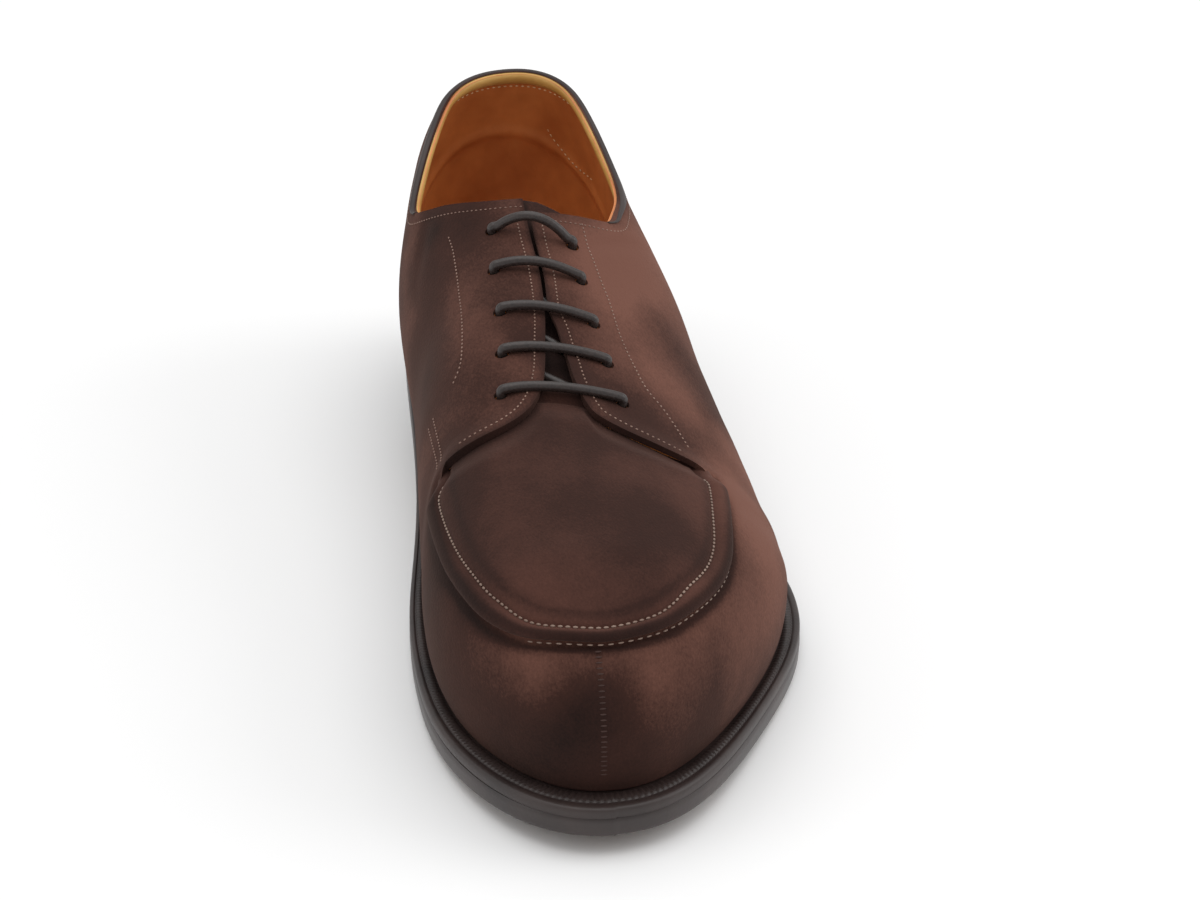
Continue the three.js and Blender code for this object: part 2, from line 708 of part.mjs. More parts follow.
const HOLE_SIDES = 12
const HOLE_REACH = 4
let shell = sidePiece.add(apron).subtract(innerForm).subtract(medialCut).subtract(lateralCut)
for (const bar of LACE_BARS) {
  for (const [at, across] of [[bar.medialAt, bar.medial], [bar.lateralAt, bar.lateral]]) {
    const x = across * BAR_HALF_WIDTH
    const s = at * UPPER_LENGTH
    const ends = [surfacePoint(x, s, -WALL - HOLE_REACH), surfacePoint(x, s, HOLE_REACH)]
    shell = shell.subtract(rod(ends, LACE_HOLE_RADIUS, HOLE_SIDES, 1))
  }
}
addPiece('upper', shell, suede)

// Tongue: a separate flap under the facings, carried under the apron's top edge
const TONGUE_BEND_FROM = 0.55 * UPPER_LENGTH
const TONGUE_BEND_TO = 0.6 * UPPER_LENGTH

function tongueGrow(s) {
  const share = THREE.MathUtils.smoothstep(s, TONGUE_BEND_FROM, TONGUE_BEND_TO)
  return -TONGUE_DROP + (TONGUE_DROP - WALL - GAP) * share
}

const tongueOuter = lastForm(tongueGrow, LOWER_ROWS)
const tongueInner = lastForm((s) => tongueGrow(s) - TONGUE_THICKNESS, INNER_LOWER_ROWS)
const tonguePlan = prism(planLine(TONGUE_OUTLINE, TONGUE_HALF_WIDTH, 30), PLAN_FLOOR, PLAN_TOP, planPlace)
addPiece('tongue', tongueOuter.subtract(tongueInner).intersect(tonguePlan), suedeDark)

// Lace: five straight bars over the facings, each dipping into a punched hole at both ends
const LACE_SIDES = 8
const LACE_STEPS = 22
const LACE_TUCK = 1.6
LACE_BARS.forEach((bar, index) => {
  const over = LACE_RADIUS + LACE_STAND_OFF
  const [from, to] = [bar.medial * BAR_HALF_WIDTH, bar.lateral * BAR_HALF_WIDTH]
  const [fromS, toS] = [bar.medialAt * UPPER_LENGTH, bar.lateralAt * UPPER_LENGTH]
  const shoulder = 1.5 * LACE_RADIUS
  const crest = [0, 0.25, 0.5, 0.75, 1].map((share) => {
    const x = from + shoulder + (to - from - 2 * shoulder) * share
    const s = fromS + (toS - fromS) * (x - from) / (to - from)
    return surfacePoint(x, s, over + bar.arch * BAR_HALF_WIDTH * Math.sin(Math.PI * share))
  })
  const path = [surfacePoint(from, fromS, -LACE_TUCK), surfacePoint(from, fromS, 0.3 * over), ...crest]
  path.push(surfacePoint(to, toS, 0.3 * over), surfacePoint(to, toS, -LACE_TUCK))
  addPiece(`lace_bar_${index + 1}`, rod(path, LACE_RADIUS, LACE_SIDES, LACE_STEPS), lace)
})

export default shoe
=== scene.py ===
import math

import bmesh
import bpy
import numpy as np
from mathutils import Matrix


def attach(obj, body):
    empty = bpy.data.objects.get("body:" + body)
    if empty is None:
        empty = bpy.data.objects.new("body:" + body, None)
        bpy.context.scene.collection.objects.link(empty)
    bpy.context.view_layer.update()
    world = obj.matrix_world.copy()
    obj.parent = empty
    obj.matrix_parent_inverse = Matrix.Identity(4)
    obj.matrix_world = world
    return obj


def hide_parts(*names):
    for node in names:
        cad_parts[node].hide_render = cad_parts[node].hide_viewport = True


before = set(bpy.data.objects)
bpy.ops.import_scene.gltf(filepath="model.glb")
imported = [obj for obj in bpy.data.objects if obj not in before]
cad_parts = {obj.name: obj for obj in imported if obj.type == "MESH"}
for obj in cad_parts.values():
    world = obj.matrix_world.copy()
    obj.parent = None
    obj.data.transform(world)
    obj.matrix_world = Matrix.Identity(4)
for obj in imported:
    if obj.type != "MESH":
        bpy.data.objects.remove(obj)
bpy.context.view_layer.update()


# Insole and sock
# A leather insole is tacked under the last and a tan sock is glued over it.
# The last's own shape is written here, and every later piece is drawn on it.

UPPER_LENGTH = 301.2
LATERAL_BALL = 54.6
MEDIAL_BALL = 43.5
COUNTER_HEIGHT = 50.3
CROWN_HEIGHT = 104.6
HEEL_SEAT_HEIGHT = 26
TOE_SPRING = 5.5
TOE_SWING = 3.7
TOE_ROUND = 86
TOE_SLOPE = 42
HEEL_ROUND = 31.5
HEEL_SLOPE = 26
FEATHER_TUCK = 3.7
WELT_MARGIN = 7.2

# Sections along the last, from the heel's back to the toe. All are shares: of the
# length, of the half widths at the ball, of the counter's and of the crown's height.
LAST = {
    "at": [0, 0.116, 0.249, 0.365, 0.481, 0.581, 0.681, 0.77, 0.87, 1],
    "lateral": [0.513, 0.604, 0.697, 0.832, 0.91, 0.965, 1.01, 0.975, 0.855, 0.652],
    "medial": [0.644, 0.759, 0.897, 0.903, 0.897, 0.924, 0.963, 0.984, 1, 0.871],
    "bulge": [1, 0.976, 0.903, 0.761, 0.596, 0.501, 0.457, 0.451, 0.465, 0.527],
    "crown": [0.989, 1, 0.941, 0.815, 0.725, 0.651, 0.591, 0.567, 0.55, 0.543],
    "lean": [0.08, 0.069, 0, -0.085, -0.202, -0.253, -0.253, -0.195, -0.115, -0.069],
    "lateral_square": [2.24, 2.22, 2.08, 1.98, 1.76, 1.7, 1.73, 1.95, 2.2, 2.36],
    "medial_square": [2.2, 2.22, 2.16, 2.11, 2.12, 2.2, 2.3, 2.36, 2.4, 2.4],
}
SOLE_RISE = {
    "at": [0, 0.133, 0.252, 0.365, 0.475, 0.558, 0.614, 0.691, 0.78, 0.88, 1.016],
    "heel": [1, 0.977, 0.885, 0.577, 0.215, 0.035, 0, 0, 0, 0, 0],
    "toe": [0, 0, 0, 0, 0, 0, 0, 0, 0.164, 0.418, 1],
}
MARGINS = {
    "at": [0, 0.249, 0.481, 0.681, 0.87, 1],
    "tuck": [0.89, 1, 0.757, 0.16, 0.865, 0.46],
    "lateral_welt": [0.39, 0.39, 0.44, 0.75, 0.64, 1],
    "medial_welt": [0.39, 0.31, 0.44, 0.56, 0.78, 1.04],
}


def curve(table, column, size):
    """A smooth line through one column of a table, as a function of s in mm."""
    at = np.array(table["at"], float) * UPPER_LENGTH
    value = np.array(table[column], float) * size
    gap = np.diff(at)
    inside = len(at) - 2
    system = np.zeros((inside, inside))
    load = np.zeros(inside)
    for i in range(inside):
        system[i, i] = 2 * (gap[i] + gap[i + 1])
        if i > 0:
            system[i, i - 1] = gap[i]
        if i < inside - 1:
            system[i, i + 1] = gap[i + 1]
        slope = (value[i + 2] - value[i + 1]) / gap[i + 1]
        load[i] = 6 * (slope - (value[i + 1] - value[i]) / gap[i])
    bend = np.concatenate([[0], np.linalg.solve(system, load), [0]])
    fine = np.linspace(at[0], at[-1], 1400)
    k = np.clip(np.searchsorted(at, fine, side="right") - 1, 0, len(at) - 2)
    b = (fine - at[k]) / gap[k]
    a = 1 - b
    cubic = ((a**3 - a) * bend[k] + (b**3 - b) * bend[k + 1]) * gap[k] ** 2 / 6
    line = a * value[k] + b * value[k + 1] + cubic
    return lambda s: np.interp(s, fine, line)


lateral_width = curve(LAST, "lateral", LATERAL_BALL)
medial_width = curve(LAST, "medial", MEDIAL_BALL)
bulge_height = curve(LAST, "bulge", COUNTER_HEIGHT)
crown_height = curve(LAST, "crown", CROWN_HEIGHT)
ridge_lean = curve(LAST, "lean", MEDIAL_BALL)
lateral_square = curve(LAST, "lateral_square", 1)
medial_square = curve(LAST, "medial_square", 1)
heel_rise = curve(SOLE_RISE, "heel", HEEL_SEAT_HEIGHT)
toe_rise = curve(SOLE_RISE, "toe", TOE_SPRING)
tuck_in = curve(MARGINS, "tuck", FEATHER_TUCK)
lateral_welt = curve(MARGINS, "lateral_welt", WELT_MARGIN)
medial_welt = curve(MARGINS, "medial_welt", WELT_MARGIN)

OUTSOLE_THICKNESS = 5.1
WELT_THICKNESS = 3.0
GAP = 0.3
WELT_LOW = OUTSOLE_THICKNESS + GAP
WELT_HIGH = WELT_LOW + WELT_THICKNESS
FLAT_FROM = 0.614 * UPPER_LENGTH
FLAT_TO = 0.691 * UPPER_LENGTH


def sole_rise(s):
    """Height of the outsole's underside."""
    rise = np.maximum(0, heel_rise(s) + toe_rise(s))
    return np.where((s > FLAT_FROM) & (s < FLAT_TO), 0, rise)


def feather_height(s):
    """Height at which the upper meets the welt."""
    return sole_rise(s) + WELT_HIGH + GAP


def centre_line(s):
    """Sideways place of the middle line, which swings inwards at the toe."""
    start = 0.62 * UPPER_LENGTH
    return -TOE_SWING * (np.maximum(0, s - start) / (UPPER_LENGTH - start)) ** 2


def round_ends(s, heel_tip, heel_round, toe_tip, toe_round, power):
    back = np.clip((heel_tip + heel_round - s) / heel_round, 0, 1)
    front = np.clip((s - toe_tip + toe_round) / toe_round, 0, 1)
    return ((1 - back**power) * (1 - front**power)) ** (1 / power)


def last_field(x, s, z, grow):
    """Negative inside the last grown by a distance all over, positive outside it."""
    bulge = bulge_height(s)
    depth = np.maximum(0, (bulge - z) / (bulge - feather_height(s))) ** 2
    heel_grow = grow - tuck_in(0) * depth
    toe_grow = grow - tuck_in(UPPER_LENGTH) * depth
    heel_tip = -heel_grow
    toe_tip = UPPER_LENGTH + toe_grow
    ends = (heel_tip, HEEL_ROUND + heel_grow, toe_tip, TOE_ROUND + toe_grow, 2.15)
    plan = np.maximum(1e-6, round_ends(s, *ends))
    side = grow - tuck_in(s) * depth
    across = x - centre_line(s)
    outer = across > 0
    wide = np.where(outer, lateral_width(s), medial_width(s)) + side
    low = np.abs(across) / (wide * plan) - 1
    ridge = ridge_lean(s) * plan
    outer = across > ridge
    to_edge = (lateral_width(s) + side) * plan - ridge
    half = np.where(outer, to_edge, (medial_width(s) + side) * plan + ridge)
    power = np.where(outer, lateral_square(s), medial_square(s))
    ends = (heel_tip, HEEL_SLOPE + heel_grow, toe_tip, TOE_SLOPE + toe_grow, 2)
    slope = np.maximum(1e-6, round_ends(s, *ends))
    rise = (crown_height(s) + grow - bulge) * slope
    up = np.maximum(0, z - bulge)
    high = (np.abs(across - ridge) / half) ** power + (up / rise) ** power - 1
    field = np.where(z < bulge, low, high)
    return np.where((s <= heel_tip) | (s >= toe_tip), 1.0, field)


def reach(place, shape, grow):
    """Distances along rays that start inside the last, to its surface."""
    near = np.zeros(shape)
    far = np.full(shape, 220.0)
    for _ in range(26):
        middle = (near + far) / 2
        inside = last_field(*place(middle), grow) < 0
        near = np.where(inside, middle, near)
        far = np.where(inside, far, middle)
    return near


SPINE_BACK = 0.15 * UPPER_LENGTH
SPINE_FRONT = 0.714 * UPPER_LENGTH


def columns(heel, straight, toe):
    """Rays round the last: from the heel's back by the lateral side to the toe and back."""
    half = heel + straight + toe
    k = np.arange(half + 1)
    along = np.clip((k - heel) / straight, 0, 1)
    heel_turn = np.minimum(k / heel, 1) - 1
    toe_turn = np.maximum(k - heel - straight, 0) / toe
    turn = (heel_turn + toe_turn) * math.pi / 2
    s = SPINE_BACK + (SPINE_FRONT - SPINE_BACK) * along
    both = np.concatenate([k, k[1:-1][::-1]])
    side = np.where(np.arange(2 * half) > half, -1, 1)
    dx = side * np.cos(turn[both])
    return centre_line(s[both]), s[both], dx, np.sin(turn[both])


def last_rings(rays, shares, angles, grow):
    """Rows of points of the grown last: shares of the way from the feather up to the
    widest line, then angles above that line, seen from the last's spine."""
    x, s, dx, ds = rays

    def low(r):
        at = s + ds * r
        foot = feather_height(at)
        return x + dx * r, at, foot + share * (bulge_height(at) - foot)

    share = np.array(shares)[:, None]
    lower = low(reach(low, (len(shares), len(s)), grow))
    share = np.ones((1, 1))
    base = low(reach(low, (1, len(s)), grow))[2]
    angle = np.radians(np.array(angles))[:, None]

    def high(r):
        flat = r * np.cos(angle)
        return x + dx * flat, s + ds * flat, base + r * np.sin(angle)

    upper = high(reach(high, (len(angles), len(s)), grow))
    rows = [np.broadcast_arrays(*lower), np.broadcast_arrays(*upper)]
    return np.concatenate([np.stack(part, axis=-1) for part in rows])


def unit(vectors):
    return vectors / np.linalg.norm(vectors, axis=1)[:, None]


def to_right(ahead):
    """Directions in plan turned a quarter to the right."""
    return np.stack([ahead[:, 1], -ahead[:, 0]], axis=-1)


def evenly(line, count, endpoint=True):
    """A line in plan with its points set at even distances."""
    total = np.concatenate([[0], np.cumsum(np.linalg.norm(np.diff(line, axis=0), axis=1))])
    even = np.linspace(0, total[-1], count, endpoint=endpoint)
    return np.stack([np.interp(even, total, line[:, i]) for i in (0, 1)], axis=-1)


def edge_line(count, out):
    """The feather line in plan, pushed out by a distance out(s, lateral)."""
    rays = columns(count // 4, count // 4, count // 4)
    ring = last_rings(rays, [0], [0], 0)[0][:, :2]
    ring = evenly(np.vstack([ring, ring[:1]]), count, False)
    normal = to_right(unit(np.roll(ring, -3, 0) - np.roll(ring, 3, 0)))
    lateral = ring[:, 0] > centre_line(ring[:, 1])
    return ring + normal * np.reshape(out(ring[:, 1], lateral), (-1, 1)), ring, normal


def welt_out(s, lateral):
    return np.where(lateral, lateral_welt(s), medial_welt(s))


SOLE_COUNT = 1880
sole_edge, feather, feather_normal = edge_line(SOLE_COUNT, welt_out)
CENTRE_X = (sole_edge[:, 0].max() + sole_edge[:, 0].min()) / 2
CENTRE_S = (sole_edge[:, 1].max() + sole_edge[:, 1].min()) / 2
MM = 0.001


def to_frame(points):
    """From mm along the last to metres in the frame of the whole shoe."""
    points = np.asarray(points, float)
    x, s, z = points[..., 0], points[..., 1], points[..., 2]
    return np.stack([(x - CENTRE_X) * MM, (CENTRE_S - s) * MM, z * MM], axis=-1)


def grid_faces(rows, count, wrap=True, close=False):
    """Quads between rows of points; wrap joins each row's ends, close the last row to the first."""
    r = np.arange(rows if close else rows - 1)[:, None]
    c = np.arange(count if wrap else count - 1)[None, :]
    next_r = (r + 1) % rows
    next_c = (c + 1) % count
    quads = [r * count + c, r * count + next_c, next_r * count + next_c, next_r * count + c]
    return np.stack([np.broadcast_to(q, (r.size, c.size)).ravel() for q in quads], axis=-1)


def mesh_object(name, points, faces, material=None):
    """A mesh of points in mm along the last, with its faces turned outwards."""
    mesh = bpy.data.meshes.new(name)
    mesh.from_pydata(to_frame(points).reshape(-1, 3).tolist(), [], faces)
    work = bmesh.new()
    work.from_mesh(mesh)
    bmesh.ops.remove_doubles(work, verts=work.verts, dist=2e-6)
    bmesh.ops.recalc_face_normals(work, faces=work.faces)
    work.to_mesh(mesh)
    work.free()
    if material:
        mesh.materials.append(material)
    piece = bpy.data.objects.new(name, mesh)
    bpy.context.scene.collection.objects.link(piece)
    return piece


def shade(piece, degrees=35):
    """Smooth shading, with the edges sharper than an angle kept."""
    piece.data.shade_smooth()
    piece.data.set_sharp_from_angle(angle=math.radians(degrees))
    return piece


def closed_loop(rows):
    """Faces of a ring-shaped piece whose section is a closed loop of rows."""
    return grid_faces(len(rows), len(rows[0]), close=True).tolist()


def capped(rows):
    """Faces of a piece whose first and last rows are closed by a lid across the shoe."""
    count = len(rows[0])
    faces = grid_faces(len(rows), count).tolist()
    for first in (0, (len(rows) - 1) * count):
        faces.append([first, first + 1, first + count - 1])
        for k in range(1, count // 2 - 1):
            faces.append([first + k, first + k + 1, first + count - k - 1, first + count - k])
        faces.append([first + count // 2 - 1, first + count // 2, first + count // 2 + 1])
    return faces


def new_sockets(tree, way, kind, *labels):
    for label in labels:
        tree.interface.new_socket(label, in_out=way, socket_type="NodeSocket" + kind)


def wire(tree, node, inputs):
    """Fills a node's inputs: another node's socket is linked, a value is typed in."""
    for key, value in inputs.items():
        if isinstance(value, bpy.types.NodeSocket):
            tree.links.new(value, node.inputs[key])
        else:
            node.inputs[key].default_value = value
    return node


def add(tree, kind, inputs):
    return wire(tree, tree.nodes.new(kind), inputs)


def leather_grain_group():
    """Fine pores and soft shade changes of smooth leather."""
    tree = bpy.data.node_groups.new("leather_grain", "ShaderNodeTree")
    new_sockets(tree, "INPUT", "Float", "Pore Scale")
    new_sockets(tree, "OUTPUT", "Float", "Shade", "Height")
    enter = tree.nodes.new("NodeGroupInput")
    place = tree.nodes.new("ShaderNodeTexCoord").outputs["Object"]
    pores = add(tree, "ShaderNodeTexVoronoi", {"Vector": place, "Scale": enter.outputs["Pore Scale"]})
    cloud = add(tree, "ShaderNodeTexNoise", {"Vector": place, "Scale": 55, "Detail": 4})
    add(tree, "NodeGroupOutput", {"Shade": cloud.outputs["Fac"], "Height": pores.outputs["Distance"]})
    return tree


leather_grain = leather_grain_group()


def new_material(name, values):
    """A material whose shader has these values."""
    material = bpy.data.materials.new(name)
    material.use_nodes = True
    wire(material.node_tree, material.node_tree.nodes["Principled BSDF"], values)
    return material


def surface(material, tone, stops, height, strength, distance):
    """Colours a material by a tone, through a ramp of stops, and bumps it by a height."""
    tree = material.node_tree
    ramp = add(tree, "ShaderNodeValToRGB", {"Fac": tone})
    marks = ramp.color_ramp.elements
    marks[0].position = stops[0][0]
    marks[1].position = stops[-1][0]
    for position, _ in stops[1:-1]:
        marks.new(position)
    for mark, (_, color) in zip(marks, stops):
        mark.color = (*color, 1)
    relief = add(tree, "ShaderNodeBump", {"Strength": strength, "Distance": distance, "Height": height})
    shader = tree.nodes["Principled BSDF"]
    wire(tree, shader, {"Base Color": ramp.outputs["Color"], "Normal": relief.outputs["Normal"]})
    return material


def leather(name, dark, light, roughness, pore_scale=1400, bump=0.12, coat=0.0):
    """Smooth dyed leather: two shades clouded together, fine pores and a soft gloss."""
    values = {"Roughness": roughness, "Coat Weight": coat, "Coat Roughness": 0.3}
    material = new_material(name, values)
    grain = material.node_tree.nodes.new("ShaderNodeGroup")
    grain.node_tree = leather_grain
    grain.inputs["Pore Scale"].default_value = pore_scale
    shade_changes, pores = grain.outputs["Shade"], grain.outputs["Height"]
    stops = [(0.35, dark), (0.68, light)]
    return surface(material, shade_changes, stops, pores, strength=bump, distance=0.0003)


WALL = 2.2
INSOLE_STAND = 1.5
sock_leather = leather("sock_leather", (0.2, 0.062, 0.017), (0.36, 0.13, 0.035), 0.5)
insole_edge = edge_line(480, lambda s, lateral: np.full_like(s, -(WALL + 2 * GAP)))[0]


def sole_row(edge, lift, inset):
    """A row of points over an outline of the sole, at a height over its underside."""
    ahead = unit(np.roll(edge, -2, 0) - np.roll(edge, 2, 0))
    ring = edge - to_right(ahead) * inset
    return np.column_stack([ring, sole_rise(edge[:, 1]) + lift])


insole_top = WELT_HIGH + INSOLE_STAND
INSOLE_PROFILE = [
    (WELT_LOW, 0.4), (WELT_LOW + 0.4, 0.0), (insole_top - 0.5, 0.0), (insole_top - 0.1, 0.15),
    (insole_top, 0.6),
]
insole_rows = [sole_row(insole_edge, lift, inset) for lift, inset in INSOLE_PROFILE]
insole = mesh_object("insole_and_sock", np.array(insole_rows), capped(insole_rows), sock_leather)
shade(insole)
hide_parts("insole")
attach(insole, "root")


# Outsole
# One leather sole from heel to toe. Its edge is trimmed, dyed dark brown and waxed to a
# satin gloss; the underside keeps a lighter brown, with a shallow closed channel.

edge_leather = leather("edge_leather", (0.016, 0.0092, 0.0083), (0.034, 0.0205, 0.018), 0.42, 900, 0.1, 0.2)
tread_leather = leather("tread_leather", (0.085, 0.042, 0.022), (0.14, 0.075, 0.04), 0.55, 1100, 0.2)
outline = sole_edge[::2]
# Height over the sole's underside and distance in from its edge, in mm.
OUTSOLE_PROFILE = [
    (0.0, 7.2), (0.25, 6.4), (0.25, 6.1), (0.0, 5.4), (0.0, 0.9), (0.15, 0.4), (0.6, 0.05), (1.4, 0.0),
    (3.6, -0.1), (OUTSOLE_THICKNESS - 0.7, 0.0), (OUTSOLE_THICKNESS - 0.15, 0.35), (OUTSOLE_THICKNESS, 0.8),
]
outsole_rows = [sole_row(outline, lift, inset) for lift, inset in OUTSOLE_PROFILE]
outsole = mesh_object("outsole_leather", np.array(outsole_rows), capped(outsole_rows), edge_leather)
outsole.data.materials.append(tread_leather)
for face in outsole.data.polygons:
    face.material_index = 1 if face.normal.z < -0.8 else 0
shade(outsole)
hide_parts("outsole")
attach(outsole, "root")


# Welt
# A strip of leather sewn right round the shoe between upper and outsole. A heated wheel
# has pressed a row of fine pricks next to the upper; the outer margin is left smooth.

welt_leather = leather("welt_leather", (0.018, 0.0105, 0.0093), (0.038, 0.023, 0.02), 0.5, 900, 0.12, 0.08)
margin = np.linalg.norm(sole_edge - feather, axis=1)
RIB_COLUMNS = 4
RIB_HEIGHT = 0.32
BAND_SHARE = 0.56
rib = np.where(np.arange(SOLE_COUNT) % RIB_COLUMNS < 2, RIB_HEIGHT, 0.0)


def welt_row(out, lift, ribs):
    ring = feather + feather_normal * np.reshape(out, (-1, 1))
    return np.column_stack([ring, sole_rise(feather[:, 1]) + lift + rib * ribs])


# Share of the margin, distance added to it, height, and share of the pricks' height.
inner = -(WALL + GAP)
WELT_PROFILE = [
    (0, inner, WELT_LOW, 0), (0, inner, WELT_HIGH - 0.3, 0), (0, 0.1, WELT_HIGH - 0.3, 0),
    (0, 0.45, WELT_HIGH - 0.25, 0.2), (0, 0.7, WELT_HIGH - 0.15, 1),
    (BAND_SHARE * 0.6, 0, WELT_HIGH - 0.12, 1),
    (BAND_SHARE, -0.15, WELT_HIGH - 0.15, 1), (BAND_SHARE, 0, WELT_HIGH - 0.3, 0.2),
    (BAND_SHARE, 0.25, WELT_HIGH - 0.3, 0), (BAND_SHARE, 0.5, WELT_HIGH - 0.02, 0), (1, -0.9, WELT_HIGH, 0),
    (1, -0.3, WELT_HIGH - 0.2, 0), (1, -0.02, WELT_HIGH - 0.7, 0), (1, 0, WELT_HIGH - 1.3, 0),
    (1, -0.02, WELT_LOW + 0.5, 0), (1, -0.35, WELT_LOW + 0.05, 0), (1, -1.2, WELT_LOW, 0),
]
welt_rows = [welt_row(margin * share + more, lift, ribs) for share, more, lift, ribs in WELT_PROFILE]
welt = mesh_object("welt_strip", np.array(welt_rows), closed_loop(welt_rows), welt_leather)
shade(welt, 50)
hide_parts("welt")
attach(welt, "root")


# Heel
# Leather lifts are glued and nailed into a low stack with a hollow front, trimmed with
# the sole and dyed like its edge. A rubber top piece takes the wear on the ground.

HEEL_LENGTH = 74
BREAST_HOLLOW = 3
TOP_PIECE_THICKNESS = 6
LIFT_COUNT = 3


def heel_line(inset, count=160):
    """Outline of the heel: the sole's edge behind the breast, and the hollow breast."""
    edge = edge_line(960, lambda s, lateral: welt_out(s, lateral) - inset)[0]
    back = edge[edge[:, 1] < HEEL_LENGTH]
    front = np.argmax(np.linalg.norm(np.diff(np.vstack([back, back[:1]]), axis=0), axis=1))
    back = np.roll(back, -front - 1, axis=0)
    start, stop = back[-1], back[0]
    share = np.linspace(0, 1, 40)[1:-1, None]
    breast = start + (stop - start) * share
    breast[:, 1] -= BREAST_HOLLOW * 4 * (share * (1 - share))[:, 0]
    return evenly(np.vstack([back, breast, back[:1]]), count, False)


def block(name, rows, material=None):
    """A closed block from rows of one outline, with flat ends."""
    count = len(rows[0])
    faces = grid_faces(len(rows), count).tolist()
    faces.append(list(range(count)))
    faces.append(list(range((len(rows) - 1) * count, len(rows) * count)))
    return mesh_object(name, np.array(rows), faces, material)


def shrunk(ring, amount):
    return ring - unit(ring - ring.mean(axis=0)) * amount


HEEL_INSET = 0.8
TOP_PIECE_INSET = 1.4
stack_ring = heel_line(HEEL_INSET)
under_sole = sole_rise(stack_ring[:, 1]) - GAP
stack_floor = TOP_PIECE_THICKNESS + GAP
stack_rows = []
LIFT_PROFILE = ((0.0, 0.3), (0.06, 0.05), (0.12, 0.0), (0.88, 0.0), (0.94, 0.05), (1.0, 0.3))
for lift in range(LIFT_COUNT):
    for share, inset in LIFT_PROFILE:
        height = stack_floor + (under_sole - stack_floor) * (lift + share) / LIFT_COUNT
        stack_rows.append(np.column_stack([shrunk(stack_ring, inset), height]))
heel_stack = block("heel_lifts", stack_rows, edge_leather)
shade(heel_stack, 50)
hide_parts("heel_stack")
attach(heel_stack, "root")

top_piece_rubber = leather("top_piece_rubber", (0.011, 0.0095, 0.009), (0.02, 0.018, 0.017), 0.6, 2200, 0.15)
top_ring = heel_line(TOP_PIECE_INSET)
top_profile = ((0.0, 0.5), (0.4, 0.1), (0.9, 0.0), (5.2, 0.0), (5.7, 0.1), (6.0, 0.4))
top_rows = []
for z, inset in top_profile:
    top_rows.append(np.column_stack([shrunk(top_ring, inset), np.full(len(top_ring), z)]))
top_piece = block("heel_rubber", top_rows, top_piece_rubber)
shade(top_piece, 50)
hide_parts("heel_top_piece")
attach(top_piece, "root")


# Upper: side piece
# One piece of dark brown suede runs from the toe round both sides to the heel, and its
# upper ends are the facings. It is cut, folded round the last and drawn in to the welt.

APRON_HALF_WIDTH = 38.8
COLLAR_HEIGHT = 0.961 * CROWN_HEIGHT
COLLAR_LINE = {
    "at": [-0.1, 0.027, 0.1, 0.165, 0.2, 0.238, 0.27, 0.3, 0.325, 0.345, 0.358, 0.368, 0.385],
    "medial": [1, 0.995, 0.91, 0.83, 0.783, 0.737, 0.762, 0.812, 0.85, 0.88, 0.925, 1, 1.25],
    "lateral": [1, 0.995, 0.91, 0.828, 0.8, 0.79, 0.788, 0.788, 0.786, 0.789, 0.83, 0.93, 1.25],
}
APRON_EDGE = {
    "at": [0.674, 0.72, 0.814, 0.883, 0.922, 0.947, 0.96]
    + [0.95, 0.927, 0.883, 0.837, 0.779, 0.723, 0.686],
    "across": [-0.959, -1, -0.954, -0.832, -0.675, -0.477, -0.12]
    + [0.2, 0.433, 0.693, 0.835, 0.915, 0.967, 0.95],
}
MEDIAL_FACING = {
    "at": [0.3, 0.35, 0.402, 0.448, 0.506, 0.559, 0.6, 0.632, 0.655, 0.669, 0.672, 0.667],
    "across": [-0.075, -0.075, -0.06, -0.042, -0.056, -0.102, -0.148, -0.226, -0.34, -0.5, -0.7, -0.87],
}
LATERAL_FACING = {
    "at": [0.3, 0.35, 0.402, 0.448, 0.5, 0.53, 0.589, 0.612, 0.635, 0.65, 0.664, 0.674, 0.68],
    "across": [-0.04, -0.04, -0.028, -0.012, -0.022, 0.016, 0.05, 0.076, 0.118, 0.18, 0.35, 0.58, 0.8],
}
APRON_TOP = {
    "at": [0.668, 0.652, 0.636, 0.612, 0.612, 0.636, 0.645, 0.655],
    "across": [0.93, 0.6, 0.36, 0.19, -0.36, -0.5, -0.8, -0.95],
}
THROAT_MIDDLE = -0.0575 * APRON_HALF_WIDTH
medial_collar = curve(COLLAR_LINE, "medial", COLLAR_HEIGHT)
lateral_collar = curve(COLLAR_LINE, "lateral", COLLAR_HEIGHT)


def smooth_step(value, low, high):
    share = np.clip((value - low) / (high - low), 0, 1)
    return share * share * (3 - 2 * share)


def smooth_path(points, steps):
    """A smooth line through points, with a number of steps between each two."""
    points = np.asarray(points, float)
    ends = np.vstack([2 * points[0] - points[1], points, 2 * points[-1] - points[-2]])
    t = np.linspace(0, 1, steps, endpoint=False)[:, None]
    line = []
    for i in range(len(points) - 1):
        a, b, c, d = ends[i : i + 4]
        square = 2 * a - 5 * b + 4 * c - d
        cube = 3 * b - a - 3 * c + d
        line.append(0.5 * (2 * b + (c - a) * t + square * t**2 + cube * t**3))
    return np.vstack([*line, points[-1:]])


def plan_line(table, half, steps):
    """A smooth line in plan through a table's points, evenly stepped."""
    across = np.array(table["across"]) * half
    points = np.column_stack([across, np.array(table["at"]) * UPPER_LENGTH])
    return evenly(smooth_path(points, 12), steps)


def shifted(line, distance):
    """A line in plan moved to its right as it runs."""
    return line + to_right(unit(np.gradient(line, axis=0))) * distance


def surface_height(x, s, grow=0.0):
    """Height of the last's top over a point of its plan."""
    base = bulge_height(s)
    return base + reach(lambda rise: (x, s, base + rise), np.shape(x), grow)


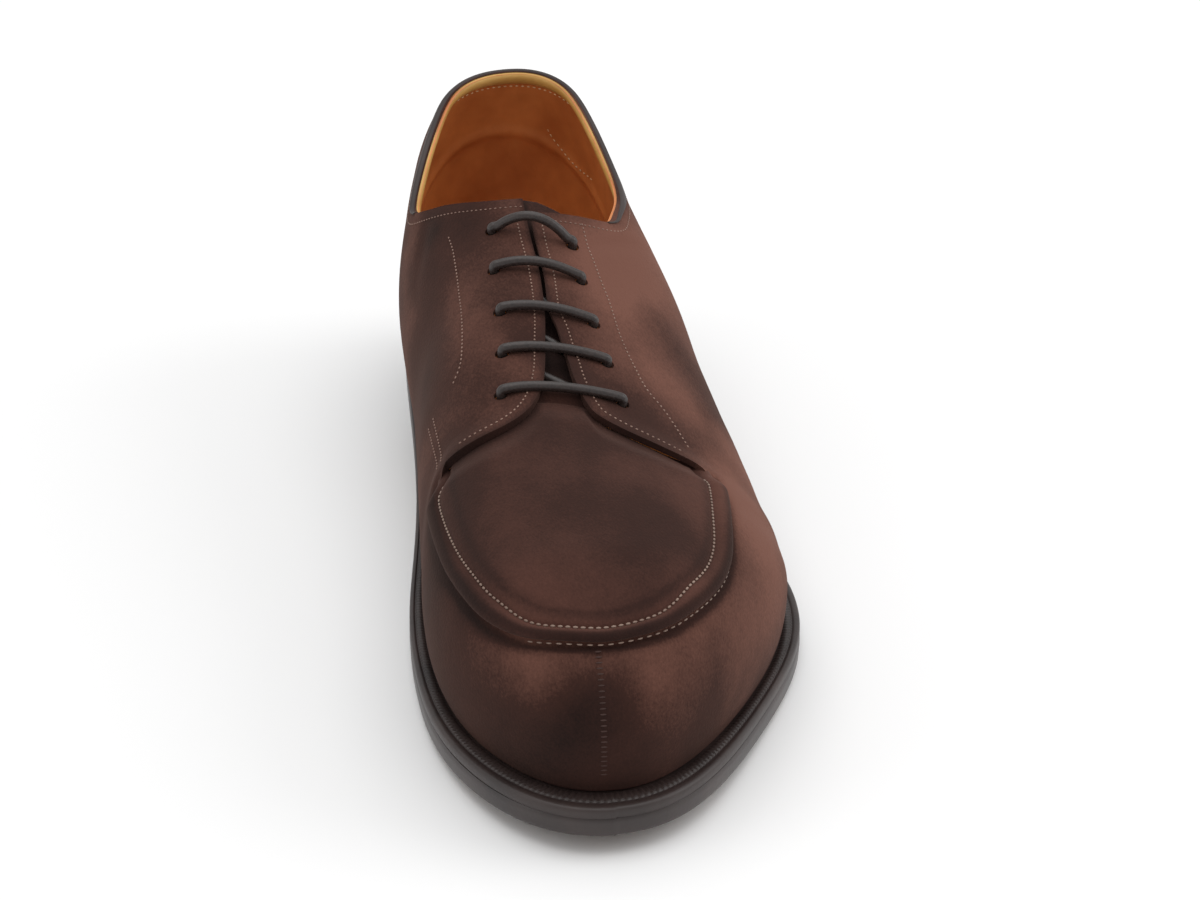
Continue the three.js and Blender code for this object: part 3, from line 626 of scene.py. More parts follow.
def field_slope(x, s, z):
    step = 0.05
    slope = [
        last_field(x + step, s, z, 0.0) - last_field(x - step, s, z, 0.0),
        last_field(x, s + step, z, 0.0) - last_field(x, s - step, z, 0.0),
        last_field(x, s, z + step, 0.0) - last_field(x, s, z - step, 0.0),
    ]
    return np.stack(slope, axis=-1) / (2 * step)


def surface_normal(x, s, z):
    """Outward direction at a point of the last's surface."""
    normal = field_slope(x, s, z)
    return normal / np.maximum(1e-9, np.linalg.norm(normal, axis=-1, keepdims=True))


def onto_last(points):
    """Points near the last moved onto its surface."""
    for _ in range(4):
        slope = field_slope(*points.T)
        value = last_field(*points.T, 0.0)
        step = slope * (value / np.maximum(1e-4, (slope**2).sum(axis=1)))[:, None]
        points = points - step / np.maximum(1, np.linalg.norm(step, axis=1))[:, None]
    return points


def on_last(line, lift=0.0):
    """Points over a plan line, lifted off the last along its normal."""
    x, s = line[..., 0], line[..., 1]
    z = surface_height(x, s)
    foot = np.stack([x, s, z], axis=-1)
    return foot + surface_normal(x, s, z) * np.reshape(lift, np.shape(lift) + (1,))


def last_form(name, rays, low_rows, angles, grow):
    """The whole last grown by a distance, as one closed form."""
    rings = last_rings(rays, low_rows, angles, grow)
    return mesh_object(name, rings, capped(rings))


def prism(name, outline, low, high, side_view=False):
    """A closed block over an outline in plan or in side view."""
    rows = np.array([np.column_stack([outline, np.full(len(outline), z)]) for z in (low, high)])
    return block(name, rows[..., [2, 0, 1]] if side_view else rows)


def carved(piece, *steps):
    """A piece after cuts and joins with other closed forms."""
    for operation, tool in steps:
        modifier = piece.modifiers.new("cut", "BOOLEAN")
        modifier.operation = operation
        modifier.solver = "MANIFOLD"
        modifier.object = tool
    graph = bpy.context.evaluated_depsgraph_get()
    mesh = bpy.data.meshes.new_from_object(piece.evaluated_get(graph))
    piece.modifiers.clear()
    piece.data = mesh
    return piece


def discard(*pieces):
    for piece in pieces:
        bpy.data.objects.remove(piece)


PLAN_FLOOR = 32
PLAN_TOP = 150
SOFTENED = 12
EDGE_STEPS = 260
rough_edge = plan_line(APRON_EDGE, APRON_HALF_WIDTH, EDGE_STEPS)
weight = np.hanning(2 * SOFTENED + 3)[1:-1]
weight = weight / weight.sum()
apron_edge = rough_edge.copy()
for axis in (0, 1):
    apron_edge[SOFTENED:-SOFTENED, axis] = np.convolve(rough_edge[:, axis], weight, "valid")
to_end = np.minimum(np.arange(EDGE_STEPS), EDGE_STEPS - 1 - np.arange(EDGE_STEPS))
ease = smooth_step(to_end, SOFTENED, 3 * SOFTENED)[:, None]
apron_edge = rough_edge * (1 - ease) + apron_edge * ease
apron_top = plan_line(APRON_TOP, APRON_HALF_WIDTH, 90)
medial_facing = plan_line(MEDIAL_FACING, APRON_HALF_WIDTH, 150)
lateral_facing = plan_line(LATERAL_FACING, APRON_HALF_WIDTH, 150)


def opening(under, back=0.0):
    """Plan of the hole in the side piece: throat, flap edges and the apron's front."""
    seam = shifted(apron_edge, under)
    medial = shifted(medial_facing, -back)
    lateral = shifted(lateral_facing, back)
    return np.vstack([medial, seam, lateral[::-1]])


def collar_cutters(drop):
    """Blocks over the collar's edge, one on each side of the throat's gap."""
    blocks = []
    for line, low, high in ((medial_collar, -90, THROAT_MIDDLE), (lateral_collar, THROAT_MIDDLE, 90)):
        s = np.linspace(COLLAR_LINE["at"][0], COLLAR_LINE["at"][-1], 200) * UPPER_LENGTH
        edge = np.column_stack([s, line(s) - drop])
        outline = np.vstack([[s[0], PLAN_TOP], edge, [s[-1], PLAN_TOP]])
        blocks.append(prism("collar_cut", outline, low, high, side_view=True))
    return blocks


# Bars of the lace and their punched holes: stations of both ends, then the ends' distance
# from the middle line and the arch between them, as shares of the bars' half width.
BAR_HALF_WIDTH = 16.6
LACE_BARS = {
    "medial_at": [0.379, 0.439, 0.505, 0.564, 0.62],
    "medial": [-0.797, -0.87, -0.885, -0.96, -1.08],
    "lateral_at": [0.401, 0.451, 0.511, 0.565, 0.619],
    "lateral": [0.585, 0.62, 0.688, 0.78, 0.9],
    "arch": [0.26, 0.07, 0.03, 0.015, 0],
}
LACE_HOLE_RADIUS = 2.0
SUEDE_THICKNESS = 1.35


def rod(name, path, radius, sides=16, material=None, up=(0.0, 0.0, 1.0)):
    """A round rod along a path, with flat ends."""
    ahead = unit(np.gradient(path, axis=0))
    side = unit(np.cross(ahead, up))
    lift = np.cross(side, ahead)
    turn = np.linspace(0, 2 * math.pi, sides, endpoint=False)[None, :, None]
    ring = side[:, None] * np.cos(turn) + lift[:, None] * np.sin(turn)
    return block(name, path[:, None] + ring * radius, material)


def bar_ends(side):
    """Places in plan of the lace's holes on one side."""
    spots = zip(LACE_BARS[side], LACE_BARS[side + "_at"])
    return [(share * BAR_HALF_WIDTH, at * UPPER_LENGTH) for share, at in spots]


def punched_holes():
    tools = []
    for side in ("medial", "lateral"):
        for place in bar_ends(side):
            spot = np.array([place])
            path = np.vstack([on_last(spot, np.array([-6.0])), on_last(spot, np.array([4.0]))])
            tools.append(rod("hole", path, LACE_HOLE_RADIUS, 20, up=(0.0, 1.0, 0.2)))
    return tools


def line_distance(points, line):
    """Distance in plan from points to a line."""
    best = np.full(len(points), 1e9)
    for a, b in zip(line[:-1], line[1:]):
        along = b - a
        share = np.clip(((points - a) @ along) / max(1e-9, along @ along), 0, 1)
        best = np.minimum(best, np.linalg.norm(points - a - share[:, None] * along, axis=1))
    return best


# Soft troughs and ridges of the side leather: side, s, height, turn in degrees from the vertical, half length,
# half width and depth, in mm; a ridge is negative.
SIDE_FOLDS = [
    (1, 196, 38, 28, 20, 9, 0.9),
    (1, 214, 33, 24, 16, 8, 0.6),
    (-1, 198, 37, -26, 20, 9, 0.8),
    (1, 128, 52, -8, 24, 13, 0.8),
    (-1, 132, 50, 10, 24, 13, 0.8),
    (1, 62, 55, 4, 18, 12, 0.5),
    (-1, 60, 56, -4, 18, 12, 0.5),
    (1, 168, 46, 20, 16, 10, -0.5),
    (-1, 166, 45, -18, 16, 10, -0.5),
    (1, 112, 76, 70, 11, 2.6, 0.6),
    (1, 104, 74, 64, 10, 3.0, -0.45),
    (-1, 96, 72, -50, 12, 3.2, 0.5),
]


SEAM_TROUGH = 1.25
SEAM_TROUGH_WIDTH = 2.0


def side_relief(points):
    """How far the side piece stands off the last: folds, the lift over the apron's ends."""
    x, s, z = points.T
    plan = points[:, :2]
    over = z > bulge_height(s)
    flap = np.minimum(line_distance(plan, medial_facing[-55:]), line_distance(plan, lateral_facing[-55:]))
    lift = np.where(over, 0.8 * (1 - smooth_step(flap, 1.0, 9.0)), 0)
    lip = line_distance(plan, apron_edge)
    lift = lift - np.where(over, SEAM_TROUGH * np.exp(-((lip / SEAM_TROUGH_WIDTH) ** 2)), 0)
    side = np.where(x > centre_line(s), 1, -1)
    for which, at, height, turn, half_length, half_width, depth in SIDE_FOLDS:
        angle = math.radians(turn)
        ds, dz = s - at, z - height
        along = (dz * math.cos(angle) + ds * math.sin(angle)) / half_length
        across = (ds * math.cos(angle) - dz * math.sin(angle)) / half_width
        mask = np.exp(-(along**2) - across**2) * (side == which)
        lift = lift - depth * mask
    return lift


def points_of(mesh):
    """A mesh's points, in mm along the last."""
    co = np.empty(len(mesh.vertices) * 3)
    mesh.vertices.foreach_get("co", co)
    co = co.reshape(-1, 3)
    return np.column_stack([co[:, 0] / MM + CENTRE_X, CENTRE_S - co[:, 1] / MM, co[:, 2] / MM])


def move_points(mesh, points):
    mesh.vertices.foreach_set("co", to_frame(points).ravel())
    mesh.update()


def emboss(piece, relief, tolerance=0.4):
    """Moves the outer skin of a piece off the last by a relief in mm."""
    points = points_of(piece.data)
    normal = surface_normal(*points.T)
    probe = points + normal * tolerance
    skin = (last_field(*probe.T, 0.0) > 0) & np.isfinite(normal).all(axis=1)
    amount = np.where(skin, relief(points), 0)
    move_points(piece.data, points + normal * amount[:, None])


# Patches of lighter or darker tone, partly nap brushed lighter or darker and partly painted light and shade:
# the lit lateral side and tongue top, the shaded medial side and toe front, and painted shadow under the
# apron's lip. Place and size in mm, then the tone.
NAP_TONE_AND_PAINTED_LIGHT = [
    (25, 120, 73, 18, 0.16), (20, 143, 68, 15, 0.1), (22, 166, 61, 16, 0.09), (32, 96, 66, 18, 0.12),
    (44, 215, 41, 22, 0.13), (44, 242, 37, 18, 0.08), (45, 180, 45, 22, 0.1), (20, 281, 42, 16, 0.06),
    (13, 114, 80, 9, 0.05), (14, 130, 75, 9, 0.05), (-36, 86, 66, 7, 0.06), (-36, 112, 60, 8, 0.03),
    (-22, 214, 59, 10, 0.03), (8, 227, 58, 9, 0.035), (-16, 289, 45, 13, 0.03), (-27, 279, 41, 13, 0.03),
    (20, 271, 49, 9, 0.035), (-30, 97, 76, 6, -0.1), (-20, 106, 82, 8, -0.06), (38, 60, 60, 32, 0.1),
    (-40, 150, 42, 20, -0.05), (-4, 206, 61, 12, -0.05), (-6, 300, 24, 24, -0.05), (-10, 298, 18, 30, -0.03),
    (-43, 232, 31, 18, -0.05), (-36, 262, 42, 8, -0.05), (32, 272, 34, 12, 0.05), (0, 101, 84, 9, 0.06),
    (40, 262, 30, 14, 0.04), (44, 130, 45, 24, 0.07),
]
# Painted shade and highlight along the seams: painted shadow in the crevice under the apron's lip, in its
# stitch groove and under the flaps' edges, and a painted highlight on the apron's raised band. Each is a line
# in plan, its shift inwards, half width and tone.
PAINTED_SEAM_SHADE_AND_HIGHLIGHT = [
    (apron_edge, -0.5, 1.0, -0.14), (apron_edge, 2.2, 1.4, 0.035), (apron_edge, 5.3, 1.1, -0.07),
    (medial_facing, 0.4, 1.2, -0.06), (lateral_facing, -0.4, 1.2, -0.04),
]


def paint_nap_tone_and_light(piece):
    """Marks the tone of the brushed nap on a piece's points, with painted light and shade: lit and shaded
    sides, and painted shadow and highlight along the seams.
    """
    points = points_of(piece.data)
    tone = np.zeros(len(points))
    for x, s, z, size, amount in NAP_TONE_AND_PAINTED_LIGHT:
        away = np.linalg.norm(points - np.array([x, s, z]), axis=1) / size
        tone += amount * np.exp(-(away**2))
    top = points[:, 2] > bulge_height(points[:, 1]) - 6
    for line, inward, size, amount in PAINTED_SEAM_SHADE_AND_HIGHLIGHT:
        near = line_distance(points[:, :2], shifted(line, inward)) / size
        tone += amount * np.exp(-(near**2)) * top
    # The brushed attribute holds the nap's tone together with the painted light and shade.
    brushed = piece.data.attributes.new("brushed", "FLOAT", "POINT")
    brushed.data.foreach_set("value", tone.astype(np.float32))


def suede_nap_group():
    """Brushed nap: broad light and dark patches, mottling and short fibres, plus the painted light and shade
    read from the brushed attribute.
    """
    tree = bpy.data.node_groups.new("nap_and_painted_light", "ShaderNodeTree")
    new_sockets(tree, "INPUT", "Float", "Patch Scale", "Fibre Scale")
    new_sockets(tree, "OUTPUT", "Float", "Tone", "Height")
    enter = tree.nodes.new("NodeGroupInput")
    place = tree.nodes.new("ShaderNodeTexCoord").outputs["Object"]
    turned = {"Vector": place, "Scale": (1.0, 0.55, 0.8), "Rotation": (0.3, 0.0, 0.5)}
    brushed = add(tree, "ShaderNodeMapping", turned).outputs["Vector"]

    def noise(vector, scale, detail, roughness, distortion=0.0):
        values = {"Vector": vector, "Scale": scale, "Detail": detail, "Roughness": roughness}
        values["Distortion"] = distortion
        return add(tree, "ShaderNodeTexNoise", values).outputs["Fac"]

    def mixed(first, second, share):
        return add(tree, "ShaderNodeMix", {0: share, 2: first, 3: second}).outputs[0]

    patches = noise(brushed, enter.outputs["Patch Scale"], 1.5, 0.5, 0.4)
    mottle = noise(place, 260, 3, 0.6)
    fibre = noise(brushed, enter.outputs["Fibre Scale"], 2, 0.7)
    # The brushed attribute adds the nap's marked tone and the painted light and shade.
    painted_light_and_nap_tone = tree.nodes.new("ShaderNodeAttribute")
    painted_light_and_nap_tone.attribute_name = "brushed"
    tone = tree.nodes.new("ShaderNodeMath")
    tone.operation = "MULTIPLY_ADD"
    shades = mixed(mixed(patches, mottle, 0.14), fibre, 0.2)
    wire(tree, tone, {0: shades, 1: NOISE_SHARE, 2: painted_light_and_nap_tone.outputs["Fac"]})
    height = mixed(mottle, fibre, 0.7)
    add(tree, "NodeGroupOutput", {"Tone": tone.outputs["Value"], "Height": height})
    return tree


NOISE_SHARE = 0.55
PATCH_SCALE = 34
FIBRE_SCALE = 1700
nap_and_painted_light = suede_nap_group()


def suede(name, dark, middle, light):
    """Napped suede, matt, with a faint sheen where it turns away."""
    values = {"Roughness": 0.95, "Specular IOR Level": 0.15, "Sheen Weight": 0.1, "Sheen Roughness": 0.45}
    values["Sheen Tint"] = (0.75, 0.42, 0.32, 1)
    material = new_material(name, values)
    nap = material.node_tree.nodes.new("ShaderNodeGroup")
    nap.node_tree = nap_and_painted_light
    nap.inputs["Patch Scale"].default_value = PATCH_SCALE
    nap.inputs["Fibre Scale"].default_value = FIBRE_SCALE
    stops = [(0.15, dark), (0.275, middle), (0.43, light)]
    return surface(material, nap.outputs["Tone"], stops, nap.outputs["Height"], strength=0.35, distance=0.0005)


brown_suede = suede("brown_suede", (0.014, 0.0066, 0.0054), (0.038, 0.0155, 0.0115), (0.15, 0.065, 0.0465))

fine_rays = columns(75, 130, 95)
coarse_rays = columns(38, 66, 48)
fine_rows = [0, 0.06, 0.13, 0.2, 0.28, 0.36, 0.44, 0.52, 0.6, 0.68, 0.76, 0.84, 0.92]
fine_angles = np.linspace(0, 90, 118)
coarse_rows = [-0.25, 0.1, 0.4, 0.7]
coarse_angles = np.linspace(0, 90, 50)
side_piece = last_form("side_piece", fine_rays, fine_rows, fine_angles, 0.0)
side_inner = last_form("side_inner", coarse_rays, coarse_rows, coarse_angles, -SUEDE_THICKNESS)
APRON_UNDERLAP = 1.6
front_cut = prism("front_cut", opening(APRON_UNDERLAP), PLAN_FLOOR, PLAN_TOP)
collar_cuts = collar_cutters(0.0)
holes = punched_holes()
tools = [side_inner, front_cut, *collar_cuts, *holes]
carved(side_piece, *(("DIFFERENCE", tool) for tool in tools))
side_piece.data.materials.clear()
side_piece.data.materials.append(brown_suede)
emboss(side_piece, side_relief)
paint_nap_tone_and_light(side_piece)
shade(side_piece, 38)
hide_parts("upper")
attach(side_piece, "root")


# Upper: lining
# Tan calf leather is glued inside the suede, from the collar to the toe. It shows in the
# collar and as a thin line along the flaps' edges. The stiff counter's top edge presses through.

lining_leather = leather("lining_leather", (0.5, 0.15, 0.036), (0.72, 0.25, 0.066), 0.5, 1500, 0.1)
COUNTER_EDGE_HEIGHT = 74
COUNTER_EDGE_RISE = 0.8


def counter_rise(points):
    arch = COUNTER_EDGE_HEIGHT - 0.016 * points[:, 0] ** 2 - 0.2 * np.maximum(0, points[:, 1] - 10)
    rise = COUNTER_EDGE_RISE * np.exp(-(((points[:, 2] - arch) / 2.0) ** 2))
    return rise * (1 - smooth_step(points[:, 1], 26, 48))


def counter_edge(piece):
    """Presses the counter's arched top edge through the lining, inside the heel."""
    points = points_of(piece.data)
    rise = counter_rise(points) * (last_field(*points.T, -WALL + 0.3) < 0)
    move_points(piece.data, points - surface_normal(*points.T) * rise[:, None])


lining_rays = columns(66, 84, 62)
lining_inner_rays = columns(64, 80, 56)
lining = last_form("lining", lining_rays, [0.02, 0.35, 0.7], np.linspace(0, 90, 70), -SUEDE_THICKNESS - 0.05)
lining_inner = last_form("lining_inner", lining_inner_rays, coarse_rows, np.linspace(0, 90, 100), -WALL)
lining_cuts = collar_cutters(0.4)
lining_front = prism("lining_front", opening(-3.5, 1.0), PLAN_FLOOR, PLAN_TOP)
tools = [lining_inner, lining_front, *lining_cuts, *holes]
carved(lining, *(("DIFFERENCE", tool) for tool in tools))
lining.data.materials.clear()
lining.data.materials.append(lining_leather)
counter_edge(lining)
shade(lining, 38)
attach(lining, "root")
discard(side_inner, front_cut, lining_inner, lining_front, *collar_cuts, *lining_cuts, *holes)


# Collar binding
# A narrow strip of smooth dark leather is folded over the collar's edge from outside, and
# the golden tan lining is turned up against it inside.

binding_leather = leather("binding_leather", (0.02, 0.0115, 0.01), (0.038, 0.0235, 0.0205), 0.6, 1300, 0.1)
rim_leather = leather("rim_leather", (0.52, 0.27, 0.06), (0.7, 0.43, 0.13), 0.5, 1500, 0.08)
COLLAR_MIDDLE = 60


def collar_path(drop, grow, count=420, start=3.0, stop=357.0):
    """Points of the collar's edge, from the throat by the medial side, heel and lateral side."""
    turn = np.radians(np.linspace(start, stop, count))
    dx, ds = -np.sin(turn), np.cos(turn)

    def place(r):
        s = COLLAR_MIDDLE + ds * r
        return dx * r, s, np.where(dx < 0, medial_collar(s), lateral_collar(s)) - drop

    return np.stack(place(reach(place, (count,), grow)), axis=-1)


def collar_frames(path):
    normal = surface_normal(*path.T)
    down = unit(np.cross(normal, unit(np.gradient(path, axis=0))))
    down = down * np.where(down[:, 2:] > 0, -1, 1)
    return normal, down


def collar_strip(name, profile, drop_share, material, start, stop):
    """A strip swept along the collar; the profile holds distances out and down."""
    path = collar_path(0.0, 0.0, start=start, stop=stop)
    normal, down = collar_frames(path)
    rows = []
    for out, drop in profile:
        amount = np.where(drop > 0, drop * drop_share, drop)
        rows.append(path + normal * out + down * np.reshape(amount, (-1, 1)))
    rows = np.array(rows)
    count = len(path)
    faces = grid_faces(len(rows), count, wrap=False, close=True).tolist()
    faces.append([k * count for k in range(len(rows))])
    faces.append([k * count + count - 1 for k in range(len(rows))])
    return shade(mesh_object(name, rows, faces, material), 60)


CORNER_MEDIAL = 62
CORNER_LATERAL = 334
COLLAR_STEPS = 420
turn_share = np.linspace(0, 1, COLLAR_STEPS)
end_share = smooth_step(np.minimum(turn_share, 1 - turn_share), 0.0, 0.14)
BINDING = [
    (0.05, 2.7), (0.38, 2.6), (0.46, 2.1), (0.46, 0.9), (0.36, 0.2), (0.1, -0.22), (-0.4, -0.42),
    (-0.9, -0.36), (-1.15, 0.0), (-1.15, 0.7), (-0.7, 1.0), (-0.7, 2.3),
]
taper = 0.2 + 0.65 * end_share
binding = collar_strip("collar_binding", BINDING, taper, binding_leather, CORNER_MEDIAL, CORNER_LATERAL)
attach(binding, "root")
RIM = [
    (-1.0, 0.3), (-1.2, -0.28), (-1.8, -0.42), (-2.5, -0.2), (-3.1, 0.5), (-3.4, 1.6), (-3.3, 3.0),
    (-2.9, 4.2), (-2.3, 4.9), (-1.9, 4.0), (-1.4, 1.2),
]
rim = collar_strip("lining_rim", RIM, 1.0, rim_leather, CORNER_MEDIAL + 2, CORNER_LATERAL - 1)
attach(rim, "root")


# Tongue
# A suede flap with a leather back. It is sewn under the apron's end, lies on the instep
# under the facings and shows a few millimetres over the collar.

TONGUE_DROP = 4.9
TONGUE_THICKNESS = 2.0
TONGUE_HALF_WIDTH = 24
TONGUE_OUTLINE = {
    "at": [0.33, 0.322, 0.327, 0.345, 0.4, 0.52, 0.63, 0.65, 0.655, 0.65, 0.63, 0.52, 0.4, 0.365, 0.345],
    "across": [0.1, -0.5, -0.78, -0.95, -1, -0.98, -0.86, -0.7, -0.2, 0.38, 0.52, 0.76, 0.84, 0.76, 0.5],
}


def tongue_lift(s):
    """Depth of the tongue's face under the side piece's skin."""
    return -TONGUE_DROP + (TONGUE_DROP - 3.2) * smooth_step(s, 0.55 * UPPER_LENGTH, 0.62 * UPPER_LENGTH)


closed = {key: value + value[:1] for key, value in TONGUE_OUTLINE.items()}
tongue_edge = plan_line(closed, TONGUE_HALF_WIDTH, 241)[:-1]
tongue_middle = np.array([-4.0, 0.48 * UPPER_LENGTH])
tongue_profile = [(0.0, -1.0), (0.0, -0.4), (0.15, -0.12), (0.5, 0.0)]
spread = np.linspace(0, 1, 34)[1:]


def sheet_rows(edge, middle, profile, spread, lift_of, thickness):
    """A closed sheet on the last: face rows from its middle to the rim, then the back."""
    away = middle - edge
    length = np.linalg.norm(away, axis=1)[:, None]
    rows = []
    for share in spread[::-1]:
        line = edge + away * share * (1 - profile[-1][0] / length) + away / length * profile[-1][0]
        rows.append(on_last(line, lift_of(line)))
    for inset, extra in profile[::-1]:
        line = edge + away / length * inset
        rows.append(on_last(line, lift_of(line) + extra))
    for share in (0.0, 0.1, 0.4, 0.7, 1.0):
        line = edge + away * share
        rows.append(on_last(line, lift_of(line) - thickness))
    return np.array(rows)


tongue_rows = sheet_rows(
    tongue_edge, tongue_middle, tongue_profile, spread, lambda line: tongue_lift(line[:, 1]), TONGUE_THICKNESS
)
# The tongue's suede is a darker copy of the side piece's suede: painted shade for the shadow in the throat
# under the facings.
tongue_suede = suede("tongue_suede", (0.008, 0.0045, 0.004), (0.02, 0.0095, 0.0078), (0.08, 0.034, 0.0255))
tongue_faces = grid_faces(len(tongue_rows), len(tongue_edge)).tolist()
tongue = mesh_object("tongue_flap", tongue_rows, tongue_faces, tongue_suede)
paint_nap_tone_and_light(tongue)
shade(tongue, 60)
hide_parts("tongue")
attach(tongue, "root")


# Apron
# A suede plug is laid over the side piece's edge and sewn down right round its front. The
# sewing pulls a groove, and the leather outside it stands up as a rounded band.

APRON_RISE = 1.2
APRON_SINK = 1.5
FLAP_FROM = 188
flap_line = np.vstack(
    [medial_facing[medial_facing[:, 1] > FLAP_FROM][::-1], lateral_facing[lateral_facing[:, 1] > FLAP_FROM]]
)


def apron_lift(line):
    """The apron lies over the side piece at the toe and dips under the facings' flaps."""
    order = np.argsort(flap_line[:, 0])
    ahead = line[..., 1] - np.interp(line[..., 0], flap_line[order, 0], flap_line[order, 1])
    return -APRON_SINK + (APRON_RISE + APRON_SINK) * smooth_step(ahead, 0.0, 13.0)


# Section of the sewn edge: distance in from the edge along the surface, and lift.
APRON_SECTION = [
    (2.2, -3.4), (1.5, -2.7), (0.9, -1.9), (0.4, -1.2), (0.1, -0.6), (0.0, -0.1), (0.12, 0.32),
    (0.45, 0.66), (0.95, 0.9), (1.7, 1.02), (2.6, 0.98), (3.4, 0.74), (4.1, 0.36), (4.7, -0.1), (5.1, -0.46),
    (5.5, -0.62), (5.9, -0.54), (6.4, -0.3), (7.1, -0.1), (8.2, 0.0), (9.6, 0.02),
]
APRON_MIDDLE = np.array([-1.0, 0.765 * UPPER_LENGTH])
STITCH_INSET = 5.55
apron_outline = np.vstack([apron_edge, apron_top])


def apron_inset(line, distance):
    """A line moved inwards over the surface, towards the apron's middle."""
    away = unit(APRON_MIDDLE - line)
    z = surface_height(line[:, 0], line[:, 1])
    normal = surface_normal(line[:, 0], line[:, 1], z)
    climb = -(normal[:, 0] * away[:, 0] + normal[:, 1] * away[:, 1]) / normal[:, 2]
    ahead = unit(np.gradient(line, axis=0))
    slant = np.abs(ahead[:, 0] * away[:, 1] - ahead[:, 1] * away[:, 0])
    plan = distance / np.sqrt(1 + climb**2) / np.maximum(0.75, slant)
    return line + away * plan[:, None]


apron_rows = []
band = 1 - 0.34 * smooth_step(apron_outline[:, 1], 0.905 * UPPER_LENGTH, 0.95 * UPPER_LENGTH)
inside = apron_inset(apron_outline, APRON_SECTION[-1][0] * band)
for share in np.linspace(1, 0, 44)[:-1]:
    line = inside + (APRON_MIDDLE - inside) * share
    apron_rows.append(on_last(line, apron_lift(line)))
for distance, extra in APRON_SECTION[::-1]:
    line = apron_inset(apron_outline, distance * band)
    apron_rows.append(on_last(line, apron_lift(line) + extra))
for share in (0.05, 0.2, 0.5, 0.8, 1.0):
    line = apron_outline + (APRON_MIDDLE - apron_outline) * share
    apron_rows.append(on_last(line, apron_lift(line) - 2.6))
apron_rows = np.array(apron_rows)
apron_suede = suede("apron_suede", (0.014, 0.0066, 0.0054), (0.031, 0.0127, 0.0096), (0.085, 0.035, 0.0255))
apron_faces = grid_faces(len(apron_rows), len(apron_outline)).tolist()
apron = mesh_object("apron_plug", apron_rows, apron_faces, apron_suede)
paint_nap_tone_and_light(apron)
shade(apron, 60)
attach(apron, "root")


# Lace
# A round waxed cord lies over the facings in five straight bars, dips into the punched
# holes and climbs under the facings in slants. Its ends stay hidden at the top holes.

LACE_RADIUS = 1.4
LACE_UNDER = 3.75
LACE_DIP = 2.6
LACE_BEND = 2.2


def lace_cord_material():
    """Tightly braided cotton, dyed and waxed."""
    material = new_material("lace_cord", {"Roughness": 0.4})
    place = material.node_tree.nodes.new("ShaderNodeTexCoord").outputs["Object"]
    values = {"Vector": place, "Scale": 1500, "Detail": 2}
    braid = add(material.node_tree, "ShaderNodeTexNoise", values).outputs["Fac"]
    stops = [(0.35, (0.02, 0.0135, 0.012)), (0.7, (0.038, 0.026, 0.023))]
    return surface(material, braid, stops, braid, strength=0.2, distance=0.00015)


lace_cord = lace_cord_material()
lace_medial = bar_ends("medial")
lace_lateral = bar_ends("lateral")


def over_last(x, s, lift):
    return on_last(np.array([[x, s]]), np.array([float(lift)]))[0]


bars = zip(lace_medial, lace_lateral, LACE_BARS["arch"])
for number, (left, right, arch) in enumerate(bars, start=1):
    left, right = np.array(left), np.array(right)
    inward = (right - left) / np.linalg.norm(right - left)
    over = LACE_RADIUS + 0.2
    path = [over_last(*left, -LACE_DIP), over_last(*left, -1.0)]
    path.append(over_last(*(left + 0.5 * inward), 0.75 * over))
    for share in np.linspace(0, 1, 9):
        spot = left + LACE_BEND * inward + (right - left - 2 * LACE_BEND * inward) * share
        path.append(over_last(*spot, over + arch * BAR_HALF_WIDTH * math.sin(math.pi * share)))
    path.append(over_last(*(right - 0.5 * inward), 0.75 * over))
    path += [over_last(*right, -1.0), over_last(*right, -LACE_DIP)]
    cord = smooth_path(path, 8)
    bar = rod(f"lace_over_{number}", cord, LACE_RADIUS, 16, lace_cord, up=(0.0, 1.0, 0.15))
    shade(bar, 60)
    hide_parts(f"lace_bar_{number}")
    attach(bar, "root")

for number in range(1, 5):
    start, stop = np.array(lace_lateral[number]), np.array(lace_medial[number - 1])
    path = [over_last(*start, -LACE_DIP)]
    for share in np.linspace(0.12, 0.88, 6):
        path.append(over_last(*(start + (stop - start) * share), -LACE_UNDER))
    path.append(over_last(*stop, -LACE_DIP))
    run = rod(f"lace_under_{number}", smooth_path(path, 6), LACE_RADIUS, 12, lace_cord)
    shade(run, 60)
    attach(run, "root")


# Stitching
# Pale brown thread, sewn by machine through suede and lining. Each row is a path on the
# surface, and the node tree lays one short thread after another along it.


